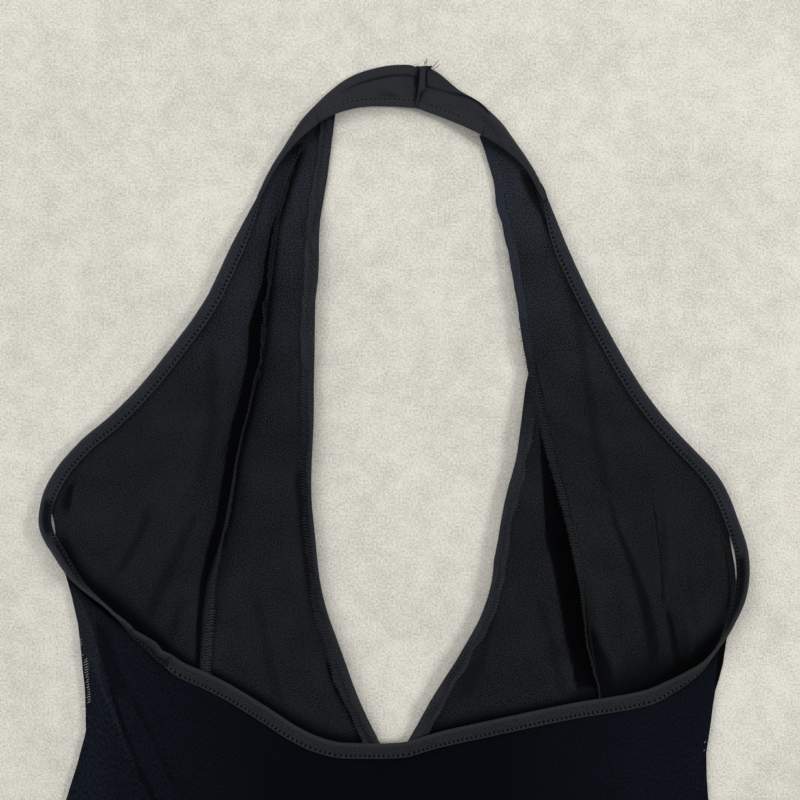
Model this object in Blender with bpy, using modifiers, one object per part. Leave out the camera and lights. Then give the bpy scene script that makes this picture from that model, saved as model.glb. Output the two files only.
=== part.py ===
"""Halter-neck bodysuit of black stretch jersey, laid flat on its front with the back uppermost.

Sizes are in millimetres and become metres as each mesh is made. X runs across the garment, Y from the
crotch to the neck and Z up from the surface it lies on; the origin is the middle of that footprint.
The front lies open side up below the arms, the back lies on it, and the halter strap is turned over at
each shoulder, so that its right side shows up to the seam at the nape.
"""

import math
from collections import namedtuple

import bmesh
import bpy
import numpy as np

MM = 0.001

# Cloth
WALL = 1.0  # one ply of jersey
GAP = 0.3  # between pieces at a seam, and between plies that lie on each other
LAYER = WALL + GAP
BINDING_WALL = 1.8  # the bias binding is folded round the edge it binds
BINDING_WIDTH = 8.0
BINDING_CLEAR = 0.2  # beyond the gap, so that it clears a panel that curves under it
LOOP_TOP = 84.0  # below this height the armhole binding leaves its panel for the loop
STRAP_BINDING_WIDTH = 5.5
BACK_BINDING_WIDTH = 9.0
LOOP_JOIN = 13.0  # from a loop's last row to the first across the back, and the pitch there
HEM_WIDTH = 7.0
HEM_TOPS = {-1: 312.0, 1: 142.0}  # the right one runs in under its princess allowance there
ALLOWANCE_WIDTH = 7.0  # the overlocked allowance of each princess seam
ALLOWANCE_TOPS = {-1: 299.0, 1: 307.0}
NAPE_ALLOWANCE = 5.0
NAPE_START = 0.4  # its side away from the seam
NAPE_WALL = 1.6  # two plies
NAPE_SLOPE = 0.35  # the strap falls away to the right of the nape
TURN_WIDTH = 8.0  # the hem that shows along the right half of the strap
TURN_EDGE = 0.6  # how far inside the strap's fold it ends
SIDE_ROLL = 14.0  # the back curves down to its side seams over this distance
SEAM_INSET = 1.5  # the front ends this far inside the back at a side seam
TOP_TUCK = 3.0  # the back's edge lies this far inside the rim of its binding, and further at the loops
SIDE_TUCK = 6.5
BACK_INSETS = {-1: 3.0, 1: 2.0}  # its top edge starts this far inside each end of the binding's table
BACK_BLENDS = (0, 0.1, 0.22, 0.36, 0.52, 0.7, 0.85, 1.0)  # its rows, from the top edge to the waist
LAP_REACH = 20.0  # the right side panel is back on the surface this far past the lap
LAP_SLOPE = 8.0
LAP_END = -45.0  # and below this height the two panels lie side by side
LAP_FADE = 28.0
CURL_START = 0.6  # the part of the strap's width from which it curls down to its fold

# Heights down the garment
STRAP_FOOTS = {-1: 316.0, 1: 312.0}  # where the front runs in under the strap
STRAP_FOOT = max(STRAP_FOOTS.values())
SIDE_FOOT = 8.0  # the side panels end this far below them
SHOULDER_TURN = {-1: 264.6, 1: 264.4}  # where the armhole binding turns over with the strap
SHOULDER_TAPER = (0.35, 0.8)  # and how much of its width shows in its first rows
V_POINT = -75.0
FRAME_WAIST = -95.0
HIP = -215.0  # where the side seams end and the leg openings begin
CROTCH = -345.0

# Leg openings and crotch
CROTCH_MIDDLE = -12.0
CROTCH_WIDTH = 70.0
LEG_ROUND = 0.9  # below 1, the leg edge leaves the hip more steeply
FRONT_LEG_INSET = 6.0  # the front is cut higher at the leg than the back
LEG_EASE = 20.0  # over this drop below the hip

Side = namedtuple("Side", "y left right")
SIDES = (  # the outline: armhole edges, underarm tips and side seams
    Side(306, -57.5, 66.5),
    Side(297, -62.8, 72.8),
    Side(270, -78.8, 89.4),
    Side(234, -97.8, 103.9),
    Side(204, -111.8, 118.0),
    Side(180, -128.9, 130.9),
    Side(153, -150.3, 146.8),
    Side(135, -168.0, 160.0),
    Side(117, -189.6, 176.4),
    Side(99, -203.6, 193.5),
    Side(81, -210.8, 202.8),
    Side(63, -209.5, 209.0),
    Side(45, -200.5, 211.4),
    Side(27, -194.5, 209.5),
    Side(9, -190.0, 202.0),
    Side(-9, -187.5, 197.0),
    Side(-27, -185.6, 194.7),
    Side(-45, -183.4, 191.8),
    Side(-72, -188.8, 187.5),
    Side(-95, -195.5, 188.0),
    Side(-130, -203.0, 191.0),
    Side(-170, -208.0, 194.0),
    Side(HIP, -209.0, 192.0),
)

Inset = namedtuple("Inset", "y left right")
FRONT_INSETS = (  # how far the front's cut edge lies inside the outline, more inside the underarm loops
    Inset(306, 5.0, 6.0),
    Inset(270, 4.0, 4.0),
    Inset(234, 1.5, 1.5),
    Inset(99, 2.5, 1.5),
    Inset(81, 5.5, 4.0),
    Inset(72, 7.4, 6.0),
    Inset(63, 7.2, 8.5),
    Inset(54, 5.0, 8.6),
    Inset(36, 3.0, 7.6),
    Inset(18, 1.5, 7.0),
    Inset(0, 1.5, 3.5),
    Inset(-20, 1.5, 1.5),
    Inset(HIP, 1.5, 1.5),
)

Seam = namedtuple("Seam", "y left right lap")
SEAMS = (  # princess seams; lap is how far the right centre panel runs on under the side panel
    Seam(STRAP_FOOT, -49.0, 54.0, 2.0),
    Seam(300, -52.5, 59.8, 3.0),
    Seam(288, -57.5, 63.8, 7.0),
    Seam(279, -61.5, 67.0, 12.0),
    Seam(261, -67.5, 69.6, 18.0),
    Seam(234, -72.0, 76.5, 22.0),
    Seam(204, -75.5, 81.5, 24.0),
    Seam(174, -78.5, 86.0, 20.0),
    Seam(144, -84.5, 91.0, 14.0),
    Seam(108, -94.0, 99.0, 9.0),
    Seam(84, -98.0, 105.0, 7.0),
    Seam(54, -104.0, 110.5, 6.0),
    Seam(24, -110.0, 115.5, 5.0),
    Seam(0, -113.0, 118.0, 3.5),
    Seam(-15, -114.2, 121.0, -GAP),
    Seam(-30, -115.0, 124.5, -GAP),
    Seam(-60, -114.0, 122.0, -GAP),
    Seam(-120, -106.0, 108.0, -GAP),
    Seam(-200, -94.0, 84.0, -GAP),
    Seam(CROTCH, -72.0, 40.0, -GAP),
)

Neck = namedtuple("Neck", "y left right")
NECKLINE = (  # the two edges of the plunging front neckline; the right one runs in under the side panel
    Neck(STRAP_FOOT, -35.5, 52.0),
    Neck(297, -38.0, 61.0),
    Neck(270, -41.8, 69.0),
    Neck(234, -45.5, 77.5),
    Neck(204, -47.5, 82.5),
    Neck(174, -48.0, 84.0),
    Neck(153, -48.5, 79.5),
    Neck(126, -49.0, 75.5),
    Neck(108, -49.5, 73.0),
    Neck(90, -50.0, 68.5),
    Neck(63, -47.5, 63.0),
    Neck(36, -44.5, 59.0),
    Neck(18, -40.5, 53.5),
    Neck(0, -34.0, 44.0),
    Neck(-36, -20.0, 22.0),
    Neck(V_POINT, -1.2, 0.2),
)

Top = namedtuple("Top", "x y")
BACK_TOP = (  # the upper edge of the binding across the back
    Top(-200, 52.0),
    Top(-192, 42.0),
    Top(-182, 31.0),
    Top(-170, 20.0),
    Top(-158, 10.5),
    Top(-145, 2.0),
    Top(-129, -11.0),
    Top(-105, -21.5),
    Top(-74, -40.0),
    Top(-48, -56.0),
    Top(-31, -60.5),
    Top(2, -60.5),
    Top(20, -55.5),
    Top(65, -45.5),
    Top(108, -36.5),
    Top(151, -29.0),
    Top(168, -21.0),
    Top(180, -14.0),
    Top(190, -3.0),
    Top(198, 9.0),
)

# The halter strap from each shoulder to the nape: its lower edge, its upper edge, and how high it lies.
Band = namedtuple("Band", "lower_x lower_y upper_x upper_y lift")
STRAP_LEFT = (
    Band(-78.2, 266.2, -80.4, 267.4, 2.6),
    Band(-69.6, 283.2, -71.4, 284.4, 2.6),
    Band(-62.4, 292.4, -65.0, 294.4, 2.6),
    Band(-55.6, 299.4, -60.2, 302.4, 2.6),
    Band(-44.0, 309.0, -53.6, 312.2, 2.6),
    Band(-35.5, 313.5, -47.4, 318.7, 2.6),
    Band(-28.5, 316.0, -39.4, 326.8, 1.7),
    Band(-22.0, 318.0, -30.6, 334.4, 0.8),
    Band(-15.0, 319.0, -21.6, 339.4, 0.2),
    Band(-8.0, 319.2, -12.0, 342.3, 0.0),
    Band(1.0, 319.0, 0.0, 344.6, 0.0),
    Band(14.2, 318.0, 15.2, 344.8, 0.0),
)
STRAP_RIGHT = (
    Band(14.6, 317.8, 15.6, 344.8, 0.0),
    Band(22.0, 315.0, 25.5, 341.2, 0.0),
    Band(30.5, 312.0, 38.5, 329.6, 0.2),
    Band(38.0, 308.5, 48.6, 323.8, 1.2),
    Band(45.0, 305.0, 56.2, 317.2, 2.8),
    Band(52.5, 301.0, 64.6, 308.9, 3.9),
    Band(60.0, 296.5, 70.4, 300.4, 3.9),
    Band(68.0, 291.5, 75.2, 293.8, 3.9),
    Band(77.0, 283.6, 80.9, 285.0, 3.9),
    Band(82.4, 275.8, 85.6, 276.8, 3.9),
    Band(87.6, 264.6, 90.2, 265.4, 3.9),
)

# Largest folds, as soft ridges from one point to another
Fold = namedtuple("Fold", "x1 y1 x2 y2 height width")
LEFT_SIDE_FOLDS = (
    Fold(-176, 74, -138, 34, 2.0, 26),
    Fold(-152, 96, -128, 20, 1.4, 30),
)
RIGHT_SIDE_FOLDS = (
    Fold(157, 78, 163, 22, 1.8, 20),
    Fold(150, 20, 160, -22, 3.0, 24),
    Fold(184, 40, 176, -6, 2.0, 22),
)
BACK_FOLDS = (
    Fold(-186, 22, -162, -46, 2.6, 20),
    Fold(-160, -40, -143, -120, 2.2, 24),
    Fold(120, -60, 150, -140, 1.6, 34),
    Fold(-60, -110, -20, -190, 1.4, 40),
)

# Underarm loops: the binding leaves the front's edge, stands on edge round the tip and turns over onto the
# back. Tilt is 0 where the strip lies inside its rim, 90 where it hangs from it, 180 where it lies outside.
Rim = namedtuple("Rim", "x y z width tilt")
LEFT_LOOP = (
    Rim(-211.2, 73.7, 4.6, 7.0, 26),
    Rim(-210.5, 67.9, 5.6, 7.5, 32),
    Rim(-207.6, 60.9, 6.4, 7.5, 36),
    Rim(-202.9, 54.1, 6.8, 7.5, 40),
    Rim(-197.2, 45.5, 7.2, 7.5, 50),
    Rim(-191.3, 38.1, 7.6, 7.0, 64),
    Rim(-183.5, 31.3, 7.8, 6.4, 80),
    Rim(-174.5, 25.1, 7.8, 6.4, 100),
    Rim(-164.9, 17.9, 8.6, 6.6, 116),
    Rim(-156.3, 11.1, 8.8, 7.0, 130),
    Rim(-147.6, 4.4, 8.0, 7.5, 150),
    Rim(-138.2, -2.6, 6.0, 8.0, 168),
)
RIGHT_LOOP = (
    Rim(204.5, 74.2, 3.8, 7.5, 10),
    Rim(208.0, 64.8, 4.6, 8.0, 14),
    Rim(210.7, 55.4, 5.4, 8.0, 20),
    Rim(211.6, 46.0, 6.0, 8.0, 28),
    Rim(211.1, 37.1, 6.4, 7.5, 34),
    Rim(209.6, 28.3, 6.8, 7.5, 42),
    Rim(206.2, 19.4, 7.2, 7.5, 54),
    Rim(201.4, 11.1, 7.4, 7.0, 70),
    Rim(196.9, 3.4, 7.8, 6.4, 90),
    Rim(190.9, -3.3, 8.6, 6.6, 110),
    Rim(184.2, -10.6, 8.8, 7.0, 130),
    Rim(176.2, -15.8, 8.0, 7.5, 150),
    Rim(165.7, -21.8, 6.0, 8.0, 168),
)

# How far each princess allowance stands up from lying flat towards the centre
Stand = namedtuple("Stand", "y left right")
STANDING = (
    Stand(300, 66, 0),
    Stand(270, 72, 0),
    Stand(90, 72, 0),
    Stand(54, 60, 8),
    Stand(36, 40, 34),
    Stand(18, 12, 60),
    Stand(-6, 4, 66),
    Stand(-20, 2, 48),
    Stand(-34, 2, 2),
)

LOOP_SPLIT = 4  # the armhole's binding ends with this row of its loop, and the back's starts from there
SPLIT_GAP = 0.12  # the part of a row's step left open between them

BackRow = namedtuple("BackRow", "blend y")


def smooth(places, values):
    """A smooth line through points: a cubic that never swings past them, because the slope at each is the
    harmonic mean of the slopes beside it, and level where they turn."""
    places, values = np.array(places, float), np.array(values, float)
    climbs = np.diff(values) / np.diff(places)
    before, after = climbs[:-1], climbs[1:]
    together = before * after > 0
    inner = np.where(together, 2 * before * after / np.where(together, before + after, 1), 0)
    slopes = np.concatenate((climbs[:1], inner, climbs[-1:]))

    def at(where):
        where = min(max(where, places[0]), places[-1])
        i = int(np.clip(np.searchsorted(places, where) - 1, 0, len(places) - 2))
        step = places[i + 1] - places[i]
        t = (where - places[i]) / step
        ease = t * t * (3 - 2 * t)
        bend = step * t * (1 - t) * (slopes[i] * (1 - t) - slopes[i + 1] * t)
        return float(values[i] * (1 - ease) + values[i + 1] * ease + bend)

    return at


def line(rows, place, value):
    """The smooth line through two columns of a table."""
    pairs = sorted((getattr(row, place), getattr(row, value)) for row in rows)
    return smooth(*zip(*pairs))


def refined(rows, pieces=2):
    """A table's rows with more between them, on the smooth lines through its columns."""
    columns = [smooth(range(len(rows)), column) for column in zip(*rows)]
    places = steps(0, len(rows) - 1, 1 / pieces)
    return [type(rows[0])(*(column(place) for column in columns)) for place in places]


def steps(start, stop, pitch):
    """Evenly spaced places from start to stop, about pitch apart."""
    count = max(1, round(abs(start - stop) / pitch))
    return [start + (stop - start) * i / count for i in range(count + 1)]


def mix(a, b, part):
    return a + (b - a) * part


def folded(x, y, folds):
    """How much a table of folds raises the cloth at a point."""
    height = 0.0
    for fold in folds:
        run_x, run_y = fold.x2 - fold.x1, fold.y2 - fold.y1
        length = math.hypot(run_x, run_y)
        along = ((x - fold.x1) * run_x + (y - fold.y1) * run_y) / length
        aside = abs((x - fold.x1) * run_y - (y - fold.y1) * run_x) / length
        if aside < fold.width / 2 and 0 < along < length:
            crown = 0.5 + 0.5 * math.cos(2 * math.pi * aside / fold.width)
            height += fold.height * crown * math.sin(math.pi * along / length)
    return height


side_left, side_right = line(SIDES, "y", "left"), line(SIDES, "y", "right")
inset_left, inset_right = line(FRONT_INSETS, "y", "left"), line(FRONT_INSETS, "y", "right")
seam_left, seam_right = line(SEAMS, "y", "left"), line(SEAMS, "y", "right")
seam_lap = line(SEAMS, "y", "lap")
neck_left, neck_right = line(NECKLINE, "y", "left"), line(NECKLINE, "y", "right")
back_top = line(BACK_TOP, "x", "y")
stand_left, stand_right = line(STANDING, "y", "left"), line(STANDING, "y", "right")


def leg_edge(y, hand):
    """The back's leg edge: from the hip corner it sweeps in and runs straight down into the crotch."""
    hip = side_left(HIP) if hand < 0 else side_right(HIP)
    end = CROTCH_MIDDLE + hand * CROTCH_WIDTH / 2
    return mix(hip, end, math.sin(math.pi / 2 * (HIP - y) / (HIP - CROTCH)) ** LEG_ROUND)


def outline(y, hand):
    """The garment's outer edge at a height, on the left (-1) or the right (1)."""
    if y < HIP:
        return leg_edge(y, hand)
    return side_left(y) if hand < 0 else side_right(y)


def front_edge(y, hand):
    """The front's own cut edge, inside the outline."""
    if y < HIP:
        reach = min(1.0, (HIP - y) / LEG_EASE)
        return outline(y, hand) - hand * mix(SEAM_INSET, FRONT_LEG_INSET, reach)
    return outline(y, hand) - hand * (inset_left(y) if hand < 0 else inset_right(y))


def middle(y):
    """The centre-front line below the neckline, which leans a little as the garment lies."""
    return mix(-0.5, CROTCH_MIDDLE, (V_POINT - y) / (V_POINT - CROTCH))


def cloth(name, color, roughness):
    """A plain matt cloth with a little sheen."""
    material = bpy.data.materials.new(name)
    material.use_nodes = True
    shader = material.node_tree.nodes["Principled BSDF"]
    shader.inputs["Base Color"].default_value = (*color, 1)
    shader.inputs["Roughness"].default_value = roughness
    shader.inputs["Metallic"].default_value = 0
    shader.inputs["Sheen Weight"].default_value = 0.2
    material.diffuse_color = (*color, 1)
    return material


FRONT_ROWS = steps(297, 117, 12) + steps(106, 22, 7) + steps(13, FRAME_WAIST, 12)
LOWER_ROWS = steps(-120, HIP, 32) + steps(-225, CROTCH, 20)


def clear_scene():
    for old in list(bpy.data.objects):
        bpy.data.objects.remove(old)


def sheet(name, across, along, point, material, wall=WALL, outward=1):
    """A wall of cloth: a grid whose stations point(a, l) puts in place. It grows outward from them, or
    to both sides where outward is 0."""
    mesh = bpy.data.meshes.new(name)
    bm = bmesh.new()
    bmesh.ops.create_grid(bm, x_segments=len(across) - 1, y_segments=len(along) - 1, size=0.5)
    for vert in bm.verts:
        a = across[round((vert.co.x + 0.5) * (len(across) - 1))]
        l = along[round((vert.co.y + 0.5) * (len(along) - 1))]
        vert.co = [value * MM for value in point(a, l)]
    bm.normal_update()
    if sum(face.normal.z * face.calc_area() for face in bm.faces) < 0:
        bmesh.ops.reverse_faces(bm, faces=bm.faces)
    bm.to_mesh(mesh)
    bm.free()
    piece = bpy.data.objects.new(name, mesh)
    mesh.materials.append(material)
    garment.objects.link(piece)
    solid = piece.modifiers.new("Wall", "SOLIDIFY")
    solid.thickness = wall * MM
    solid.offset = outward
    solid.use_even_offset = True


def strip(name, rows, hand, material, wall, height=None, across=(0.0, 1.0)):
    """A narrow strip along its rim, turned about that rim by each row's tilt. It follows a panel's height
    where one is given."""
    def point(a, l):
        before, here, after = rows[max(l - 1, 0)], rows[l], rows[min(l + 1, len(rows) - 1)]
        run_x, run_y = after.x - before.x, after.y - before.y
        length = math.hypot(run_x, run_y)
        reach = a * here.width * math.cos(math.radians(here.tilt))
        drop = a * here.width * math.sin(math.radians(here.tilt))
        x = here.x + hand * run_y / length * reach
        y = here.y - hand * run_x / length * reach
        under = height(x, y) if height else 0.0
        return x, y, here.z + under - drop + wall / 2

    sheet(name, across, range(len(rows)), point, material, wall, outward=0)


# Heights of the panels' undersides
def left_side_height(x, y):
    return folded(x, y, LEFT_SIDE_FOLDS)


def right_side_height(x, y):
    """The right side panel lies over the centre panel beside the seam, then comes down onto the surface."""
    beside = np.clip((seam_right(y) + seam_lap(y) + LAP_REACH - x) / LAP_SLOPE, 0, 1)
    above = np.clip((y - LAP_END) / LAP_FADE, 0, 1)
    return LAYER * float(beside * above) + folded(x, y, RIGHT_SIDE_FOLDS)


def back_height(x, y):
    """The back lies on the front, and its side seams and leg edges come down to meet it."""
    to_end = min(x - outline(y, -1), outline(y, 1) - x, y - CROTCH)
    rise = float(np.clip(to_end / SIDE_ROLL, 0, 1))
    return mix(LAYER, 2 * LAYER, math.sin(math.pi / 2 * rise)) + folded(x, y, BACK_FOLDS) * rise


def front_center(hand, material):
    """A centre front panel, from under the strap down to the crotch seam."""
    def point(a, y):
        if hand < 0:
            inner = neck_left(y) if y > V_POINT else middle(y) - GAP / 2
            outer = max(seam_left(y) + GAP / 2, front_edge(y, hand))
        else:
            inner = neck_right(y) if y > V_POINT else middle(y) + GAP / 2
            outer = min(seam_right(y) + seam_lap(y), front_edge(y, hand))
        return mix(inner, outer, a), y, 0.0

    name = "front_center_left" if hand < 0 else "front_center_right"
    rows = [STRAP_FOOTS[hand], STRAP_FOOTS[hand] - SIDE_FOOT] + FRONT_ROWS + LOWER_ROWS
    sheet(name, (0.0, 0.5, 1.0), rows, point, material)


def seam_end(hand):
    """The height at which a princess seam runs out at the front's leg edge."""
    seam = seam_left if hand < 0 else seam_right
    y = HIP
    while hand * (front_edge(y, hand) - seam(y)) > SEAM_INSET:
        y -= 0.5
    return y


def front_side(hand, material):
    """A side front panel, between the princess seam and the armhole, side seam and leg."""
    seam = seam_left if hand < 0 else seam_right
    height = left_side_height if hand < 0 else right_side_height

    def point(a, y):
        x = mix(seam(y) + hand * GAP / 2, front_edge(y, hand), a)
        return x, y, height(x, y)

    name = "front_side_left" if hand < 0 else "front_side_right"
    end = seam_end(hand)
    rows = [STRAP_FOOTS[hand] - SIDE_FOOT] + FRONT_ROWS + [y for y in LOWER_ROWS if y > end + 4] + [end]
    sheet(name, steps(0, 1, 1 / 8), rows, point, material)


def back(material):
    """The back, cut low, from its bound top edge to the crotch, with a rounded leg edge on each side."""
    side = [0.0, 0.012, 0.035]
    across = side + steps(0.08, 0.92, 0.056) + [1 - part for part in reversed(side)]
    left_end, right_end = BACK_TOP[0].x + BACK_INSETS[-1], BACK_TOP[-1].x - BACK_INSETS[1]

    def point(part, row):
        """Each row lies part of the way, row.blend, from the curved top edge down to the height row.y."""
        x = mix(left_end, right_end, part)
        top = back_top(x) - mix(TOP_TUCK, SIDE_TUCK, abs(2 * part - 1) ** 4)
        at_top = (x - outline(top, -1)) / (outline(top, 1) - outline(top, -1))
        y = mix(top, row.y, row.blend)
        x = mix(outline(y, -1), outline(y, 1), mix(at_top, part, row.blend))
        return x, y, back_height(x, y)

    rows = [BackRow(blend, FRAME_WAIST) for blend in BACK_BLENDS] + [BackRow(1.0, y) for y in LOWER_ROWS]
    sheet("back", across, rows, point, material)


def armhole_rows(hand, loop):
    """The binding's rows down an armhole, from the turn at the shoulder to the first rows of its loop."""
    heights = steps(SHOULDER_TURN[hand], 106, 14) + steps(98, 82, 8)
    rows = [Rim(outline(y, hand), y, LAYER + BINDING_CLEAR, BINDING_WIDTH, 0) for y in heights]
    for i, part in enumerate(SHOULDER_TAPER):
        rows[i] = rows[i]._replace(width=BINDING_WIDTH * part)
    return rows + refined(loop[:LOOP_SPLIT])


def binding(material):
    """The bias binding of both armholes and the back's top edge, in three solids that meet in the loops."""
    for hand, loop, height in ((-1, LEFT_LOOP, left_side_height), (1, RIGHT_LOOP, right_side_height)):
        name = "armhole_binding_left" if hand < 0 else "armhole_binding_right"
        strip(name, armhole_rows(hand, loop), hand, material, BINDING_WALL,
              lambda x, y, height=height: height(x, y) if y > LOOP_TOP else 0.0)

    def past_split(loop):
        last, first = loop[LOOP_SPLIT - 1], loop[LOOP_SPLIT]
        return refined([Rim(*(mix(a, b, SPLIT_GAP) for a, b in zip(last, first)))] + list(loop[LOOP_SPLIT:]))

    places = steps(LEFT_LOOP[-1].x + LOOP_JOIN, RIGHT_LOOP[-1].x - LOOP_JOIN, LOOP_JOIN)
    straight = [Rim(x, back_top(x), 3 * LAYER, BACK_BINDING_WIDTH, 180) for x in places]
    rows = past_split(LEFT_LOOP) + straight + list(reversed(past_split(RIGHT_LOOP)))
    strip("back_binding", rows, -1, material, BINDING_WALL)


def neckline_hem(hand, material):
    """The turned hem that lies on a centre panel along its neckline edge."""
    neck = neck_left if hand < 0 else neck_right

    def point(a, y):
        room = HEM_WIDTH
        if hand > 0:
            room = min(room, seam_right(y) - ALLOWANCE_WIDTH - 3 * GAP - neck(y))
        return neck(y) + hand * a * room, y, LAYER

    name = "neckline_hem_left" if hand < 0 else "neckline_hem_right"
    sheet(name, (0.0, 1.0), steps(HEM_TOPS[hand], V_POINT + 3, 14), point, material)


def princess_allowance(hand, material):
    """The overlocked allowance of a princess seam, lying towards the centre or standing on its edge."""
    seam, stand = (seam_left, stand_left) if hand < 0 else (seam_right, stand_right)
    rows = []
    for y in steps(ALLOWANCE_TOPS[hand], 74, 16) + steps(56, -34, 10) + steps(-50, seam_end(hand) + 5, 36):
        clear = 0.0
        if hand > 0:
            clear = 2 * GAP + WALL / 2 * math.sin(math.radians(stand(y)))
        rows.append(Rim(seam(y) - hand * clear, y, LAYER, ALLOWANCE_WIDTH, -stand(y)))
    name = "princess_allowance_left" if hand < 0 else "princess_allowance_right"
    strip(name, rows, hand, material, WALL)


def strap_point(bands):
    """Points of a strap half's underside: across from its lower edge, 0, over to its upper edge, 1, where it
    curls down onto the surface."""
    def point(a, l):
        band = bands[l]
        curl = max(0.0, (a - CURL_START) / (1 - CURL_START))
        lift = band.lift * math.sqrt(1 - curl**2)
        return mix(band.lower_x, band.upper_x, a), mix(band.lower_y, band.upper_y, a), lift

    return point


def on_strap(bands, from_lower, width):
    """Points of a strip that lies on a strap half, its inner side this far from the strap's lower edge."""
    under = strap_point(bands)

    def point(a, l):
        band = bands[l]
        depth = math.hypot(band.upper_x - band.lower_x, band.upper_y - band.lower_y)
        x, y, z = under((from_lower(depth) + a * width) / depth, l)
        return x, y, z + LAYER

    return point


def strap(hand, cloth_material, binding_material):
    """Half of the halter strap, with the binding of its lower edge."""
    bands, name = (refined(STRAP_LEFT), "left") if hand < 0 else (refined(STRAP_RIGHT), "right")
    across = (0.0, 0.3, 0.6, 0.8, 0.94, 1.0)
    sheet("strap_" + name, across, range(len(bands)), strap_point(bands), cloth_material)
    bound = range(8, len(bands)) if hand < 0 else range(2, 11)
    lower = on_strap(bands, lambda depth: 0.0, STRAP_BINDING_WIDTH)
    sheet("strap_binding_" + name, (0.0, 0.5, 1.0), bound, lower, binding_material)


def strap_turn(material):
    """The neckline hem of the right strap half, which shows turned over along its upper edge."""
    upper = on_strap(refined(STRAP_RIGHT, 4), lambda depth: depth - TURN_WIDTH - TURN_EDGE, TURN_WIDTH)
    sheet("strap_hem_right", (0.0, 0.35, 0.7, 1.0), range(4, 19), upper, material)


def nape_seam(material):
    """The allowance of the seam at the nape, laid over onto the right half of the strap."""
    edge = STRAP_RIGHT[0]

    def point(a, part):
        x = mix(edge.lower_x, edge.upper_x, part) + NAPE_START + a * NAPE_ALLOWANCE
        return x, mix(edge.lower_y, edge.upper_y, part) - a * NAPE_ALLOWANCE * NAPE_SLOPE, LAYER

    sheet("nape_seam", (0.0, 0.5, 1.0), steps(0.02, 0.98, 0.24), point, material, NAPE_WALL)


def leg_binding(hand, material):
    """The binding of a leg opening, on the back's leg edge from the hip to the crotch."""
    rows = [
        Rim(outline(y, hand) - hand * GAP, y, LAYER + GAP, BINDING_WIDTH, 0)
        for y in steps(HIP - BINDING_WIDTH, CROTCH + 1, 12)
    ]
    name = "leg_binding_left" if hand < 0 else "leg_binding_right"
    strip(name, rows, hand, material, BINDING_WALL, back_height, across=(0.0, 0.5, 1.0))


clear_scene()
garment = bpy.data.collections.new("bodysuit")
bpy.context.scene.collection.children.link(garment)

inside = cloth("jersey_inside", (0.012, 0.013, 0.015), 0.85)
outside = cloth("jersey_outside", (0.006, 0.007, 0.010), 0.9)
trim = cloth("jersey_binding", (0.030, 0.031, 0.034), 0.7)
overlock = cloth("overlock_thread", (0.020, 0.021, 0.023), 0.8)

for side in (-1, 1):
    front_center(side, inside)
    front_side(side, inside)
    neckline_hem(side, overlock)
    princess_allowance(side, overlock)
    strap(side, outside, trim)
    leg_binding(side, trim)
back(outside)
binding(trim)
strap_turn(inside)
nape_seam(overlock)
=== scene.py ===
import math

import bmesh
import bpy
import numpy as np
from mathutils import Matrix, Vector
from mathutils.bvhtree import BVHTree


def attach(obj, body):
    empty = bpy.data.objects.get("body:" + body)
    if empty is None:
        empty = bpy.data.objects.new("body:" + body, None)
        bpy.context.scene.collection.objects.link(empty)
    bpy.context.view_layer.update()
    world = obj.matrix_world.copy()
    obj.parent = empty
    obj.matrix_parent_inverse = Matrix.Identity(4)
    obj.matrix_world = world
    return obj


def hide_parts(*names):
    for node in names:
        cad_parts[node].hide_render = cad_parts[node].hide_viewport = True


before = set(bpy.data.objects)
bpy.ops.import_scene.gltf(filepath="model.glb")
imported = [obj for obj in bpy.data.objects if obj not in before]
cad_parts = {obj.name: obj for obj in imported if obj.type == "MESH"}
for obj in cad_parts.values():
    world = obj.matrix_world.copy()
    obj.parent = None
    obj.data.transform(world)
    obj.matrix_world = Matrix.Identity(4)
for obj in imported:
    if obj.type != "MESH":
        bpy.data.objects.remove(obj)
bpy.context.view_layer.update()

# ---- Centre front panels ----
# Two long cuts of black stretch jersey, from under the strap down to the crotch. They lie on the floor with
# their wrong side up, open between them as a plunging neckline, and meet below it in a centre seam.

MM = 0.001  # the cloth's lengths are in millimetres: x across the garment, y up it and z off the floor
JERSEY = 0.8  # one ply
CLOTH_STEP = 2.3  # between the points of a panel
HALF_WALL = 0.5  # from a solid's upper face down to the middle of its ply
LOWEST = 0.45  # the middle of a ply lies no lower than this over the floor
ABOVE_ALL = 60.0  # higher than any of the cloth
UNDER_SEAM = 1.4  # how far a side panel runs on under its seam allowance
BACK_EDGE_X = np.arange(-200.0, 200.0, 4.0)
# How far the painted shade beside the back's raised edge reaches over the front, across the garment
BACK_SHADE_X = (-195, -158, -146, -120, -100, -56, -20, 60, 100, 130, 153, 175, 195)
BACK_SHADE = (9.0, 9.0, 7.0, 4.0, 3.4, 6.5, 4.5, 4.0, 2.6, 12.0, 21.0, 14.0, 6.5)
BACK_SHADE_TONE = 0.92
STRAP_FOOT = 262.0  # how far up the front the strap comes down over it

# Soft creases: from x, y to x, y, how far the line bows aside, how high the cloth lifts and how wide
CENTER_CREASES = (
    (-70, 70, -50, -25, 4, 1.3, 7),
    (-88, 44, -66, -52, -3, 1.2, 7),
    (-78, 20, -62, -60, 2, -0.8, 5),
    (-62, 230, -60, 120, 2, 1.0, 5),
    (-66, 130, -74, 40, -3, 0.9, 6),
    (-60, 290, -54, 225, -2, 0.8, 4),
    (60, 44, 84, -30, 3, 1.2, 7),
    (86, 40, 101, -18, -4, -1.0, 6),
    (66, 30, 96, -48, 5, 1.0, 7),
    (48, -8, 78, -58, 3, 1.0, 6),
    (76, 118, 84, 40, -2, 0.9, 5),
    (-60, -150, -30, -240, 8, 1.8, 14),
    (28, -140, 22, -250, -7, 1.9, 13),
    (-25, -110, -34, -190, 4, 1.3, 9),
    (70, -120, 44, -200, -4, 1.4, 10),
    (-84, -110, -70, -190, 5, 1.3, 10),
)

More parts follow.
